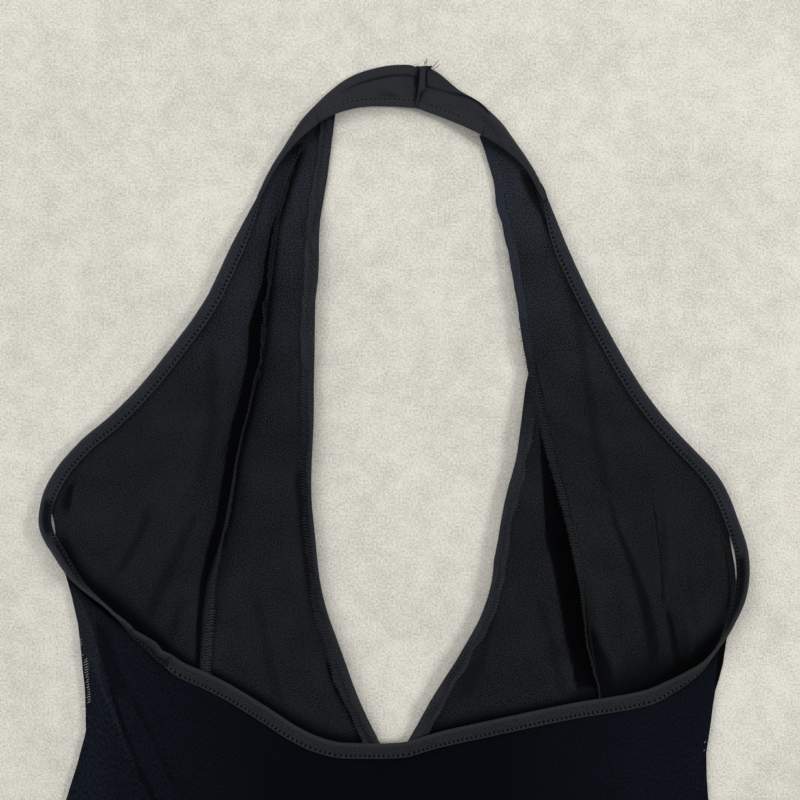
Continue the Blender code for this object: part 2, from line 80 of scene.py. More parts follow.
# Edges that stand off the floor: panel, left or right edge, where up the garment it starts, height and reach
STANDING_EDGES = (
    ("front_center_left", 1, -72, 3.8, 11),
    ("front_center_right", 0, -72, 3.8, 11),
    ("front_side_left", 0, 62, 2.2, 9),
    ("front_side_right", 1, 62, 2.2, 9),
)
RISING = 34  # how far up the garment a standing edge takes to rise
SINKING = 30  # and how far it takes to sink again under the strap
EDGE_LEVELS = np.arange(-70.0, 300.0, 4.0)
# The neckline's edges eased across the garment, up the garment, where the hem has crept
NECK_EASED = {
    "left": (
        (-48, -24, -12, 12, 36, 60, 84, 108, 132, 156, 192, 204, 216, 228, 240, 252, 276, 300),
        (0, 0.3, 0.8, 1, 0.7, 0.8, 1, 0.9, 1.4, 1.1, 1, 1.1, 2, 1.7, 0.5, 0, 1.2, 0.8),
    ),
    "right": (
        (-48, -36, -12, 36, 48, 60, 84, 96, 108, 132, 156, 180, 192, 204, 216, 240, 252, 264, 276, 288),
        (0.2, -0.5, 0, -0.3, -1.2, -0.4, -0.8, -0.6, 0, -0.1, -0.8, -1.6, -1.75, -1.3, -1.75, -1, -0.4,
         -1.5, -0.3, -0.6),
    ),
}
# How much paler the front's colour is made towards the shoulders, up the garment
PALER_UP_FRONT = {
    "left": ((140, 180, 204, 228, 252, 276, 300), (0, 0.2, 0.3, 0.35, 0.45, 0.6, 0.3)),
    "right": ((130, 160, 180, 204, 228, 252, 276, 300), (0, 0.25, 0.35, 0.42, 0.52, 0.7, 0.8, 0.55)),
}

# Painted shade in bands, where shadow falls in close folds and beside raised seams, hems and edges:
# softness of the left and right border, depth of tone, and down the garment the height and the two borders
BAND_END = 8  # how far up the garment a band takes to fade at its two ends
CENTER_SHADE = (
    (0.9, 0.8, 0.97, (
        (132, 86.5, 89), (93, 89.2, 98), (68, 90.6, 105), (59, 91.2, 106.5), (45, 95.2, 109),
        (25, 98.9, 114), (18, 100.2, 115.4), (3, 102.4, 118.4), (-14, 106.5, 122), (-34, 110.4, 126),
    )),
    (1.0, 5.0, 0.88, (
        (300, -54, -51), (246, -70.6, -68), (210, -74, -71.5), (177, -78, -75), (145, -85, -81.5),
        (108, -93.4, -90.5), (74, -99, -96), (54, -104, -102), (48, -105, -104),
    )),
    (3.0, 1.0, 0.55, (
        (106, -58, -52.6), (98, -59.7, -53), (86, -58.1, -51.8), (74, -56.7, -50.4), (59, -55, -48.3),
        (43, -53.5, -46), (28, -50.9, -43.5), (14, -48, -40),
    )),
    (1.2, 0.8, 0.9, (
        (-8, -42, -39), (-22, -38, -35), (-34, -33.4, -30.4), (-41, -28.4, -25.2), (-49, -25, -22),
        (-57, -21.6, -18.6), (-68, -17, -14),
    )),
    (6.0, 4.0, 0.35, ((60, 62, 67), (20, 56, 62), (-10, 48, 56), (-40, 34, 44))),
    (3.0, 5.0, 0.3, ((30, 84, 88), (0, 92, 97), (-40, 100, 106))),
    (4.0, 3.0, 0.3, ((30, -86, -80), (-20, -76, -70), (-56, -66, -60))),
)


def solid_of(name):
    """The corners of a solid's triangles, in millimetres."""
    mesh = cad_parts[name].data
    mesh.calc_loop_triangles()
    places = np.empty(len(mesh.vertices) * 3)
    mesh.vertices.foreach_get("co", places)
    corners = np.empty(len(mesh.loop_triangles) * 3, int)
    mesh.loop_triangles.foreach_get("vertices", corners)
    return places.reshape(-1, 3)[corners].reshape(-1, 3, 3) / MM


def cut(solid, place, across):
    """Where an upright plane through a place, square to the direction across, cuts a solid's triangles."""
    side = (solid - np.array(place)) @ np.array(across)
    found = []
    for a, b in ((0, 1), (1, 2), (2, 0)):
        through = side[:, a] * side[:, b] < 0
        part = side[through, a] / (side[through, a] - side[through, b])
        start, end = solid[through, a], solid[through, b]
        found.append(start + (end - start) * part[:, None])
    return np.concatenate(found)


def level_cut(solid, y):
    """A solid's cut straight across the garment at a height up it."""
    return cut(solid, (0, y, 0), (0, 1, 0))


def upper_edge(solid, places):
    """How far up the garment a solid reaches at each place across it."""
    return np.array([cut(solid, (x, 0, 0), (1, 0, 0))[:, 1].max() for x in places])


def side_edges(name, heights):
    """A panel's left and right edge at each height up the garment."""
    solid = solid_of(name)
    cuts = [level_cut(solid, y)[:, 0] for y in heights]
    return np.array([(x.min(), x.max()) for x in cuts])


def past(value, start, over):
    """From 0 to 1 as a value goes past a start, over so much of it; where that is below 0, from 1 to 0."""
    return np.clip((value - start) / over, 0, 1)


def mound(away, wide):
    """1 at no distance, falling softly to nothing over about twice a width."""
    return np.exp(-((away / wide) ** 2))


def standing(x, y):
    """How far the rolled neckline and the bound armholes hold the cloth off the floor."""
    lift = np.zeros(np.shape(x))
    for edge, right, start, height, reach in standing_edges:
        inward = (x - np.interp(y, EDGE_LEVELS, edge)) * (-1 if right else 1)
        rise = past(y, start, RISING) * past(y, STRAP_FOOT, -SINKING)
        lift = np.maximum(lift, height * rise * past(inward, -20, 6) * mound(np.maximum(inward, 0), reach))
    return lift


def top_of(name, x, y):
    """How high the upper face of a solid lies at each point across and up the garment."""
    corners = solid_of(name).reshape(-1, 3)
    tree = BVHTree.FromPolygons(corners.tolist(), np.arange(len(corners)).reshape(-1, 3).tolist())
    found = np.empty(x.shape)
    for i, (here_x, here_y) in enumerate(zip(x.flat, y.flat)):
        hit = tree.ray_cast(Vector((here_x, here_y, ABOVE_ALL)), Vector((0, 0, -1)))[0]
        hit = hit or tree.find_nearest(Vector((here_x, here_y, 6)))[0]
        found.flat[i] = hit.z
    return found


def softened(grid, passes):
    """A grid of heights with its facets rounded off."""
    for _ in range(passes):
        grid = np.pad(grid, ((1, 1), (0, 0)), mode="edge")
        grid = (grid[:-2] + 2 * grid[1:-1] + grid[2:]) / 4
        grid = np.pad(grid, ((0, 0), (1, 1)), mode="edge")
        grid = (grid[:, :-2] + 2 * grid[:, 1:-1] + grid[:, 2:]) / 4
    return grid


def creased(x, y, creases):
    """How much a table of creases lifts the cloth at each point."""
    lift = np.zeros(x.shape)
    for x1, y1, x2, y2, bow, height, width in creases:
        run = np.array((x2 - x1, y2 - y1))
        length = np.hypot(*run)
        along = ((x - x1) * run[0] + (y - y1) * run[1]) / length**2
        ends = np.clip(4 * along * (1 - along), 0, 1)
        aside = ((y - y1) * run[0] - (x - x1) * run[1]) / length - bow * ends
        lift += height * ends**1.3 * mound(aside, width / 2)
    return lift


def in_painted_bands(x, y, bands):
    """How deep in a table's bands of painted shade or light each point lies, from 0 to 1."""
    painted_tone = np.zeros(x.shape)
    for soft_left, soft_right, tone, borders in bands:
        level, left, right = np.array(borders[::-1], float).T
        inside = np.clip((x - np.interp(y, level, left)) / soft_left + 0.5, 0, 1)
        inside *= np.clip((np.interp(y, level, right) - x) / soft_right + 0.5, 0, 1)
        inside *= past(y, level[0], BAND_END) * past(y, level[-1], -BAND_END)
        painted_tone = np.maximum(painted_tone, tone * inside * inside * (3 - 2 * inside))
    return painted_tone


def beside_back(x, y):
    """Painted shade close to the back's raised edge, where it stands over the front."""
    above = y - np.interp(x, BACK_EDGE_X, back_edge)
    reach = np.interp(x, BACK_SHADE_X, BACK_SHADE)
    return BACK_SHADE_TONE * mound(np.maximum(above - 0.5, 0), reach) * (above < 40)


def uneven(along, pitch, seed):
    """A smooth unevenness of about -1 to 1 along a length, with swells about pitch apart."""
    chance = np.random.default_rng(seed)
    total = 0
    for _ in range(5):
        length = pitch * chance.uniform(0.6, 1.8)
        total = total + np.sin(2 * np.pi * along / length + chance.uniform(0, 6.28))
    return total / 3


def hand_of_cloth(x, y, seed):
    """The slight swells that jersey keeps when it is laid out by hand."""
    broad = uneven(x + 0.4 * y, 38, seed) + uneven(y - 0.3 * x, 52, seed + 1)
    small = uneven(x + 0.7 * y, 17, seed + 2) * uneven(y - 0.5 * x, 29, seed + 3)
    return 0.35 + 0.16 * broad + 0.12 * small


def spread(count, edge):
    """Places from 0 to 1 across a piece, with one close to each edge so that the edge turns sharply."""
    inner = np.linspace(0, 1, count)
    return np.concatenate(([0, edge], inner[1:-1], [1 - edge, 1]))


def tinted(piece, painted_tone):
    """Marks each point's painted shade from 0 to 1, or below 0 how much paler its colour is made."""
    mark = piece.data.attributes.new("painted_light_and_shade", "FLOAT", "POINT")
    mark.data.foreach_set("value", np.asarray(painted_tone, float).reshape(-1))


def mesh_piece(name, points, faces, maps, material, nodes):
    """A piece of the garment from points in millimetres, riding on the frame in place of its solids.
    maps holds each point's place on each of its UV maps."""
    mesh = bpy.data.meshes.new(name)
    mesh.from_pydata((points.reshape(-1, 3) * MM).tolist(), [], faces)
    mesh.polygons.foreach_set("use_smooth", np.ones(len(mesh.polygons), bool))
    corners = np.empty(len(mesh.loops), int)
    mesh.loops.foreach_get("vertex_index", corners)
    for map_name, places in maps.items():
        mesh.uv_layers.new(name=map_name).data.foreach_set("uv", places.reshape(-1, 2)[corners].ravel())
    mesh.materials.append(material)
    piece = bpy.data.objects.new(name, mesh)
    bpy.context.scene.collection.objects.link(piece)
    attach(piece, "root")
    if nodes:
        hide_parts(*nodes)
    return piece


def gone_along(line):
    """The distance gone at each point of a line."""
    return np.concatenate(([0], np.linalg.norm(np.diff(line, axis=0), axis=1).cumsum()))


def panel(name, rows, painted_tone, material, slot, nodes):
    """A ply of cloth through rows of points, with the distances across and along it on its UV map."""
    up, across = rows.shape[:2]
    order = np.arange(up * across).reshape(up, across)
    faces = np.stack((order[:-1, :-1], order[:-1, 1:], order[1:, 1:], order[1:, :-1]), -1).reshape(-1, 4)
    turn = np.cross(rows[:-1, 1:] - rows[:-1, :-1], rows[1:, :-1] - rows[:-1, :-1])[..., 2].sum()
    faces = faces[:, ::-1] if turn < 0 else faces
    over = np.array([gone_along(row) for row in rows])
    over -= over[:, across // 2][:, None]
    along = np.repeat(gone_along(rows[:, across // 2])[:, None], across, 1)
    maps = {"cut": np.stack((over, along), -1)}
    piece = mesh_piece(name, rows, faces.tolist(), maps, material, nodes)
    tinted(piece, painted_tone)
    wall = piece.modifiers.new("ply", "SOLIDIFY")
    wall.thickness = JERSEY * MM
    wall.offset = 0
    return piece


def add(tree, kind, *links, **settings):
    """A node with its settings; each link is one of its inputs and what that input takes."""
    node = tree.nodes.new("ShaderNode" + kind)
    for name, value in settings.items():
        setattr(node, name, value)
    for socket, value in links:
        if isinstance(value, bpy.types.NodeSocket):
            tree.links.new(value, node.inputs[socket])
        else:
            node.inputs[socket].default_value = value
    return node


def worked_out(tree, operation, *values, **settings):
    """The result of a math node on one to three values."""
    return add(tree, "Math", *enumerate(values), operation=operation, **settings).outputs[0]


def blended(tree, part, first, second, **settings):
    """Two colours blended, so much of the second."""
    return add(tree, "Mix", (0, part), (6, first), (7, second), data_type="RGBA", **settings).outputs[2]


def noise(tree, where, scale, detail, roughness=0.5):
    """A soft unevenness from 0 to 1."""
    node = add(tree, "TexNoise", ("Vector", where), ("Scale", scale), ("Detail", detail))
    node.inputs["Roughness"].default_value = roughness
    return node.outputs["Fac"]


def new_group(name, inputs, outputs):
    """A shader node group with named sockets, and its two end nodes."""
    group = bpy.data.node_groups.new(name, "ShaderNodeTree")
    for way, sockets in (("INPUT", inputs), ("OUTPUT", outputs)):
        for socket, kind in sockets:
            group.interface.new_socket(socket, in_out=way, socket_type="NodeSocket" + kind)
    return group, group.nodes.new("NodeGroupInput").outputs, group.nodes.new("NodeGroupOutput").inputs


def new_finish(name, pale, roughness, gloss):
    """A new material, its node tree and its shader."""
    material = bpy.data.materials.new(name)
    material.use_nodes = True
    material.diffuse_color = (*pale, 1)
    shader = material.node_tree.nodes["Principled BSDF"]
    shader.inputs["Roughness"].default_value = roughness
    shader.inputs["Specular IOR Level"].default_value = gloss
    return material, material.node_tree, shader


# Fine weft knit: wales run along the cut, courses across it, with loose fibres and a slightly uneven dye
knit, given, result = new_group(
    "stretch knit",
    (("Cut", "Vector"), ("Deep", "Color"), ("Pale", "Color"), ("Wale", "Float"), ("Slant", "Float")),
    (("Color", "Color"), ("Height", "Float")),
)
across, along, _ = add(knit, "SeparateXYZ", (0, given["Cut"])).outputs
leaning = worked_out(knit, "MULTIPLY", along, given["Slant"])
wales = worked_out(knit, "DIVIDE", worked_out(knit, "ADD", across, leaning), given["Wale"])
column = worked_out(knit, "PINGPONG", wales, 1.0)
course = worked_out(knit, "DIVIDE", along, given["Wale"])
leg = worked_out(knit, "MULTIPLY_ADD", column, 0.8, course)
loops = worked_out(knit, "SINE", worked_out(knit, "MULTIPLY", leg, 2 * math.pi))
ribs = worked_out(knit, "SINE", worked_out(knit, "MULTIPLY", column, math.pi))
fibre = noise(knit, given["Cut"], 1.45, 1.0, 0.6)
dye = noise(knit, given["Cut"], 0.035, 2.0)
stitch = worked_out(knit, "MULTIPLY_ADD", loops, 0.08, 0.36)
body = worked_out(knit, "MULTIPLY_ADD", ribs, 0.22, stitch)
relief = worked_out(knit, "ADD", body, worked_out(knit, "MULTIPLY_ADD", fibre, 7.0, -3.5))
tone = worked_out(knit, "MULTIPLY_ADD", dye, 1.0, -0.5)
shade = worked_out(knit, "ADD", relief, tone, use_clamp=True)
knit.links.new(blended(knit, shade, given["Deep"], given["Pale"]), result["Color"])
knit.links.new(relief, result["Height"])


def jersey(name, deep, pale, roughness, sheen, gloss, slant=0.0, wale=0.7, paler_by=(2.0, 2.08, 2.4)):
    """A jersey finish with its knit along the piece's own cut; its mark paints shade above 0 and paler below.
    """
    material, tree, shader = new_finish(name, pale, roughness, gloss)
    shader.inputs["Sheen Weight"].default_value = sheen
    shader.inputs["Sheen Roughness"].default_value = 0.5
    shader.inputs["Sheen Tint"].default_value = (0.8, 0.88, 1.0, 1)
    lay = add(tree, "UVMap", uv_map="cut").outputs[0]
    cloth = add(
        tree, "Group", ("Cut", lay), ("Deep", (*deep, 1)), ("Pale", (*pale, 1)), ("Wale", wale),
        ("Slant", slant), node_tree=knit,
    ).outputs
    bump = add(tree, "Bump", ("Height", cloth["Height"]), ("Strength", 0.5), ("Distance", 0.00008))
    tree.links.new(bump.outputs[0], shader.inputs["Normal"])
    # Painted shade: a mark above 0 darkens the colour towards near black; below 0 the colour is made paler
    painted_light_and_shade = add(tree, "Attribute", attribute_name="painted_light_and_shade").outputs["Fac"]
    below_zero = worked_out(tree, "MULTIPLY", painted_light_and_shade, -1.0, use_clamp=True)
    paled = blended(tree, below_zero, cloth["Color"], (*paler_by, 1), blend_type="MULTIPLY")
    shaded = blended(tree, painted_light_and_shade, paled, (deep[0] * 0.25, deep[1] * 0.25, deep[2] * 0.35, 1))
    tree.links.new(shaded, shader.inputs["Base Color"])
    return material


wrong_side = jersey("jersey wrong side", (0.0024, 0.0030, 0.0038), (0.0188, 0.0222, 0.0258), 0.9, 0.03, 0.03)
wrong_side_right = jersey(
    "jersey wrong side, right half", (0.0022, 0.0027, 0.0032), (0.0177, 0.0196, 0.0223), 0.9, 0.03, 0.03
)
back_edge = upper_edge(solid_of("back_binding"), BACK_EDGE_X)
standing_edges = [
    (side_edges(name, EDGE_LEVELS)[:, right], right, start, height, reach)
    for name, right, start, height, reach in STANDING_EDGES
]


def laid(name, creases, bands, seed, count, wider=None, ridge=None, neck=None):
    """A front panel's rows of points on its solid's form, and their painted shade or paler colour. wider
    moves its outer edge and neck its edge at the neckline, and ridge lifts its left edge."""
    solid = solid_of(name)
    low, high = solid[..., 1].min(), solid[..., 1].max()
    heights = np.linspace(low + 0.05, high - 0.05, round((high - low) / CLOTH_STEP))
    ends = side_edges(name, heights)
    if wider is not None:
        outer = int(ends.mean() > 0)
        ends[:, outer] += np.interp(heights, *wider)
        ends[:, 1 - outer] += UNDER_SEAM * (1 - 2 * outer)
    if neck is not None:
        ends[:, int(ends.mean() < 0)] += np.interp(heights, *neck)
    parts = spread(count, 0.01)
    x = ends[:, :1] + (ends[:, 1:] - ends[:, :1]) * parts
    y = np.repeat(heights[:, None], len(parts), 1)
    base = softened(top_of(name, x, y), 10) - HALF_WALL
    z = base + hand_of_cloth(x, y, seed) + creased(x, y, creases) + standing(x, y)
    if ridge is not None:
        z += np.interp(y, *ridge) * mound(x - ends[:, :1], 8)
    # Painted shade in the bands and beside the back's edge, and a paler colour towards the shoulders
    painted_tone = np.maximum(in_painted_bands(x, y, bands), beside_back(x, y))
    paler = np.interp(y, *PALER_UP_FRONT["left" if ends.mean() < 0 else "right"])
    return np.stack((x, y, np.maximum(z, LOWEST)), -1), painted_tone - paler * (1 - painted_tone)


center_left, center_right = (
    panel("center_front_" + side,
          *laid("front_center_" + side, CENTER_CREASES, CENTER_SHADE, seed, 60, neck=NECK_EASED[side]),
          cloth, "jersey_inside", ["front_center_" + side])
    for side, seed, cloth in (("left", 11, wrong_side), ("right", 13, wrong_side_right))
)

# ---- Side front panels ----
# A side front reaches from the princess seam to the armhole, the side seam and the leg. The right one laps
# over its centre panel beside the seam, and both keep soft creases from the bust and the underarm.

SIDE_CREASES = (
    (-186, 66, -150, 6, 5, 1.6, 7),
    (-147, 90, -172, 34, 3, 1.4, 6),
    (-113, 72, -148, 12, -4, 1.5, 9),
    (-136, 70, -158, -12, 4, -1.1, 6),
    (-122, 40, -140, -30, 3, 1.2, 7),
    (-168, 92, -128, 8, -6, 1.0, 9),
    (-150, 122, -112, 40, 4, 0.9, 11),
    (-191, 95, -195, 77, 0, -2.4, 4),
    (-186, 96, -190, 74, 0, 1.0, 5),
    (-120, 190, -100, 100, -4, 1.0, 11),
    (-92, 226, -84, 170, 2, 0.8, 6),
    (157, 100, 162.5, 22, 1, -1.3, 2.6),
    (160, 98, 166, 22, 1, 0.9, 4),
    (164, 20, 173, -20, -1, -2.2, 7),
    (174, 22, 182, -26, -1, 1.6, 6),
    (163, -17, 164, -27, 0, 1.0, 2.5),
    (136, 92, 154, -10, 3, -0.9, 10),
    (124, 84, 140, -16, 3, 0.8, 10),
    (176, 66, 170, 2, -3, 1.0, 7),
    (192, 74, 186, 20, 2, 1.1, 6),
    (118, 66, 130, -36, -3, 1.3, 6),
    (108, 190, 122, 96, 3, 1.0, 10),
    (92, 250, 104, 190, 2, 0.8, 6),
    (66, 292, 76, 240, 2, 0.9, 5),
    (-170, -130, -120, -230, 9, 1.8, 13),
    (-140, -110, -116, -180, -4, 1.5, 9),
    (150, -120, 118, -240, -8, 1.9, 14),
    (128, -100, 112, -170, 4, 1.4, 9),
)
# Painted shade on the side panels, in close folds, beside the seams and under the binding and back
SIDE_SHADE = (
    (0.9, 1.0, 0.97, (
        (300, -55, -53), (246, -73.5, -70.6), (227, -77.3, -73.7), (215, -78.6, -74.2), (202, -82.6, -77),
        (188, -86.7, -77.6), (180, -86.9, -78), (167, -87.8, -78), (156, -90.3, -82), (146, -92.3, -85),
        (130, -97, -88.5), (116, -99.6, -91.5), (102, -101.7, -94), (88, -103.7, -96.8), (76, -105.9, -98.8),
        (66, -108.4, -101), (55, -111.5, -105), (44, -114, -108.5), (34, -116, -111.5), (19, -117.5, -113.6),
        (0, -118.6, -115.2), (-20, -119, -115.8),
    )),
    (3.0, 0.9, 0.75, (
        (284, 74, 82), (275.5, 76.4, 84.2), (264, 81.6, 87), (256, 86.8, 89.5), (243, 92, 94),
        (212, 105, 106.8), (190, 115, 116),
    )),
    (0.6, 0.6, 0.75, (
        (92, 153.6, 154.4), (68, 157.3, 158.3), (47, 159.5, 160.8), (25, 160.7, 162.2), (19, 161.4, 163.6),
    )),
    (1.0, 1.6, 0.85, (
        (22, 161.8, 163.4), (18, 162.4, 165.9), (5, 165.7, 169.2), (-11, 167.3, 173), (-26, 169, 177),
    )),
    (4.0, 3.0, 0.7, (
        (92, 127.5, 127.5), (78, 130, 132), (68, 132, 135), (47, 140, 144.5), (25, 146.5, 153),
        (0, 151, 158.5), (-24, 152, 159),
    )),
    (0.8, 6.0, 0.85, ((12, 116.5, 119), (-2, 118.5, 124), (-16, 121, 131), (-40, 124, 138))),
    (0.7, 0.7, 0.8, (
        (66, 194.4, 195.4), (54, 197.6, 198.6), (44, 199.6, 200.8), (28, 200.6, 201.8), (12, 198.6, 199.6),
    )),
    (5.0, 5.0, 0.3, ((70, 174, 174), (20, 178, 181), (-14, 183, 188))),
    (4.0, 5.0, 0.3, ((250, 90, 94), (190, 108, 113), (120, 118, 124), (84, 126, 133))),
    (5.0, 0.9, 0.8, (
        (99, -190, -188.5), (92, -196, -191), (84, -198.5, -192.6), (78, -199, -193.4), (72, -198, -195),
    )),
    (4.0, 4.0, 0.4, ((82, -148, -144), (68, -152, -147), (52, -160, -155), (36, -169, -164))),
    (5.0, 4.0, 0.4, ((80, -119, -114), (50, -134, -127), (20, -148, -141), (-6, -156, -150))),
    (6.0, 5.0, 0.3, ((180, -112, -106), (130, -112, -104), (90, -120, -112))),
    (5.0, 6.0, 0.35, ((30, -128, -121), (0, -137, -130), (-30, -146, -138))),
)
# Outer edges moved, up the garment: both run on under the strap, and the right one closes below its slit
LET_OUT_LEFT = ((258, 268, 276, 300, 308), (0, -3, -5.5, -6, -5))
LET_OUT_RIGHT = (
    (-30, -14, 12, 24, 40, 52, 258, 268, 276, 300, 308), (0, 3, 4.4, 3.2, 1.5, 0.5, 0, 3, 5, 6, 5),
)
# Above the seam's top end the right panel's own edge is the neckline
NECK_ABOVE_SEAM = ((152, 162, 180, 192, 204, 216, 240, 252, 264, 276, 288, 300),
                   (0, -1.2, -1.6, -1.75, -1.3, -1.75, -1.3, -0.6, -1.5, -0.4, -0.7, 0))
LAP_RIDGE = ((-40, -24, -7, 16, 40, 64, 90, 112), (0, 0.6, 0.8, 0.8, 3.6, 5.2, 2.6, 0))

side_left = panel(
    "side_front_left", *laid("front_side_left", SIDE_CREASES, SIDE_SHADE, 17, 90, LET_OUT_LEFT),
    wrong_side, "jersey_inside", ["front_side_left"],
)
side_right = panel(
    "side_front_right",
    *laid("front_side_right", SIDE_CREASES, SIDE_SHADE, 19, 90, LET_OUT_RIGHT, LAP_RIDGE, NECK_ABOVE_SEAM),
    wrong_side_right, "jersey_inside", ["front_side_right"],
)

# ---- Princess seam allowances ----
# Each seam joins a centre panel to a side panel with an overlock of black thread round both raw edges. The
# left allowance stands on its edge down to the bust and then lies flat; the right one does the opposite.

OVERLOCK_PITCH = 1.75
OVERLOCK_WIDTH = 6.6  # from the needle line to the free edge
ALLOWANCE_PROFILE = (  # part of the width from the seam, and height off the middle
    (0.0, 0.1), (0.05, 0.7), (0.3, 0.75), (0.6, 0.65), (0.9, 0.6), (0.985, 0.35), (1.0, 0.0),
    (0.985, -0.35), (0.9, -0.6), (0.6, -0.65), (0.3, -0.7), (0.05, -0.6), (0.0, -0.1),
)
CLIPPED = 0.75  # part of the width below which a section only clips a corner of a strip's end
EASING = 24.0  # how strongly a line that is followed from the solids is eased
THREAD_SIDES = 5
THREAD_TIP = 0.4  # part of its thickness that a thread keeps at its two ends


def two_ends(points):
    """The middles of the two short ends of a strip's cross-section."""
    middle = points.mean(0)
    long_way = np.linalg.svd(points - middle, full_matrices=False)[2][0]
    reach = (points - middle) @ long_way
    return points[reach > reach.max() - 0.5].mean(0), points[reach < reach.min() + 0.5].mean(0)


def followed(sections, starts_first):
    """A strip's two edges, followed from section to section. starts_first says whether the first section's
    two ends are already in order, and the sections that only clip a corner at the ends are left out."""
    found = [two_ends(points) for points in sections if len(points) >= 6]
    width = [np.linalg.norm(a - b) for a, b in found]
    while width[0] < CLIPPED * width[2]:
        found, width = found[1:], width[1:]
    while width[-1] < CLIPPED * width[-3]:
        found, width = found[:-1], width[:-1]
    pairs = []
    for a, b in found:
        if pairs:
            kept = np.linalg.norm(a - pairs[-1][0]) + np.linalg.norm(b - pairs[-1][1])
            turned = np.linalg.norm(b - pairs[-1][0]) + np.linalg.norm(a - pairs[-1][1])
            a, b = (a, b) if kept <= turned else (b, a)
        elif not starts_first(a, b):
            a, b = b, a
        pairs.append((a, b))
    return np.array(pairs).transpose(1, 0, 2)


def level_edges(node, margin, step, starts_first):
    """A strip's two edges from one level cut to the next, step apart and a margin inside its ends."""
    solid = solid_of(node)
    low, high = solid[..., 1].min() + margin, solid[..., 1].max() - margin
    heights = np.arange(low, high, step) if step > 0 else np.arange(high, low, step)
    return followed([level_cut(solid, y) for y in heights], starts_first)


def places_at(line, gone, where):
    """A line's points or directions at other distances gone along it."""
    return np.stack([np.interp(where, gone, line[:, i]) for i in range(3)], 1)


def shared_out(line, count):
    """A line as so many points, evenly placed."""
    gone = gone_along(line)
    return places_at(line, gone, np.linspace(0, gone[-1], count))


def eased(line, passes):
    """A line with its small steps rounded off, its two ends kept."""
    for _ in range(passes):
        line[1:-1] = (line[:-2] + 2 * line[1:-1] + line[2:]) / 4
    return line


def evenly(line, step):
    """A line's points placed evenly, step apart, and eased over a few millimetres."""
    return eased(shared_out(line, max(2, round(gone_along(line)[-1] / step))), round(EASING / step**2))


def longer(line, before, after):
    """A line run straight on past its two ends, by so many millimetres."""
    start, end = line[0] - line[3], line[-1] - line[-4]
    first = line[0] + start / np.linalg.norm(start) * before
    last = line[-1] + end / np.linalg.norm(end) * after
    return np.concatenate(([first], line, [last]))


def facing(rim, other):
    """For each point of a rim, the nearest point of the other edge, so that each section is square to it."""
    fine = evenly(other, 0.4)
    nearest = np.array([np.argmin(((fine - point) ** 2).sum(1)) for point in rim])
    return eased(fine[np.maximum.accumulate(nearest)], 12)


def frames(rim, other):
    """Along a strip: the way across it, its normal, the distance gone and its width."""
    across = other - rim
    width = np.linalg.norm(across, axis=1)
    normal = np.cross(np.gradient(rim, axis=0), across)
    normal /= np.linalg.norm(normal, axis=1)[:, None]
    return across, normal if normal[0, 2] >= 0 else -normal, gone_along(rim), width


def stood(line):
    """A line along the front's edge, lifted as the cloth there is."""
    return line + np.outer(standing(line[:, 0], line[:, 1]), (0, 0, 1))


def tube(name, points, maps, material, nodes):
    """A closed piece through the sections of one tube or of many, its faces turned outwards."""
    order = np.arange(points.size // 3).reshape(points.shape[:-1])
    after = np.roll(order, -1, -1)
    sides = np.stack((order[..., :-1, :], after[..., :-1, :], after[..., 1:, :], order[..., 1:, :]), -1)
    faces = sides.reshape(-1, 4).tolist()
    for end in (order[..., 0, ::-1], order[..., -1, :]):
        faces += end.reshape(-1, order.shape[-1]).tolist()
    piece = mesh_piece(name, points, faces, maps, material, nodes)
    shell = bmesh.new()
    shell.from_mesh(piece.data)
    bmesh.ops.recalc_face_normals(shell, faces=shell.faces)
    shell.to_mesh(piece.data)
    shell.free()
    return piece


def strip(name, rim, other, profile, lift, material, nodes, drop=None):
    """A closed strip between two edges. lift(gone, part, height) gives each point's height off the middle,
    and drop lowers the rim's underside where it is folded round the cloth that it binds."""
    across, normal, gone, width = frames(rim, other)
    part, height = np.array(profile).T
    gone = gone[:, None]
    tall = lift(gone, part[None, :], height[None, :])
    points = rim[:, None] + across[:, None] * part[None, :, None] + normal[:, None] * tall[..., None]
    if drop is not None:
        below = (height * normal[:, 2:] < 0) & (part < 0.2)
        flat = np.clip(np.abs(normal[:, 2:]) * 4 - 3, 0, 1)
        points[..., 2] -= below * flat * drop[:, None]
    part, gone = np.broadcast_arrays(part, gone)
    maps = {"cut": np.stack((part * width[:, None], gone), -1), "seam": np.stack((part, gone), -1)}
    return tube(name, points, maps, material, nodes)


def threads(name, paths, reference, radius, material):
    """Short lengths of thread as one mesh, each a thin tube along its path."""
    ahead = np.gradient(paths, axis=1)
    side = np.cross(ahead, reference[:, None])
    side /= np.linalg.norm(side, axis=2)[..., None]
    up = np.cross(side, ahead)
    up /= np.linalg.norm(up, axis=2)[..., None]
    turns = np.arange(THREAD_SIDES) * 2 * math.pi / THREAD_SIDES
    thick = np.full(paths.shape[1], radius)
    thick[[0, -1]] *= THREAD_TIP
    ring = side[:, :, None] * np.cos(turns)[:, None] + up[:, :, None] * np.sin(turns)[:, None]
    points = paths[:, :, None] + ring * thick[None, :, None, None]
    return tube(name, points, {}, material, [])


def thread_finish(name, deep, pale, roughness=0.6):
    """Spun thread: its twist and fuzz as a fine unevenness of colour and height."""
    material, tree, shader = new_finish(name, pale, roughness, 0.3)
    twist = noise(tree, add(tree, "TexCoord").outputs["Object"], 2600.0, 2.0)
    bump = add(tree, "Bump", ("Height", twist), ("Strength", 0.6), ("Distance", 0.0001))
    tree.links.new(blended(tree, twist, (*deep, 1), (*pale, 1)), shader.inputs["Base Color"])
    tree.links.new(bump.outputs[0], shader.inputs["Normal"])
    return material


overlock = thread_finish("overlock thread", (0.005, 0.006, 0.008), (0.052, 0.056, 0.065))
overlock_right = thread_finish("overlock thread, right half", (0.004, 0.005, 0.007), (0.036, 0.039, 0.046))
seam_cloth = jersey(
    "jersey of the seam allowances", (0.0025, 0.003, 0.004), (0.011, 0.0125, 0.015), 0.9, 0.04, 0.03,
    paler_by=(3.2, 3.3, 3.9),
)


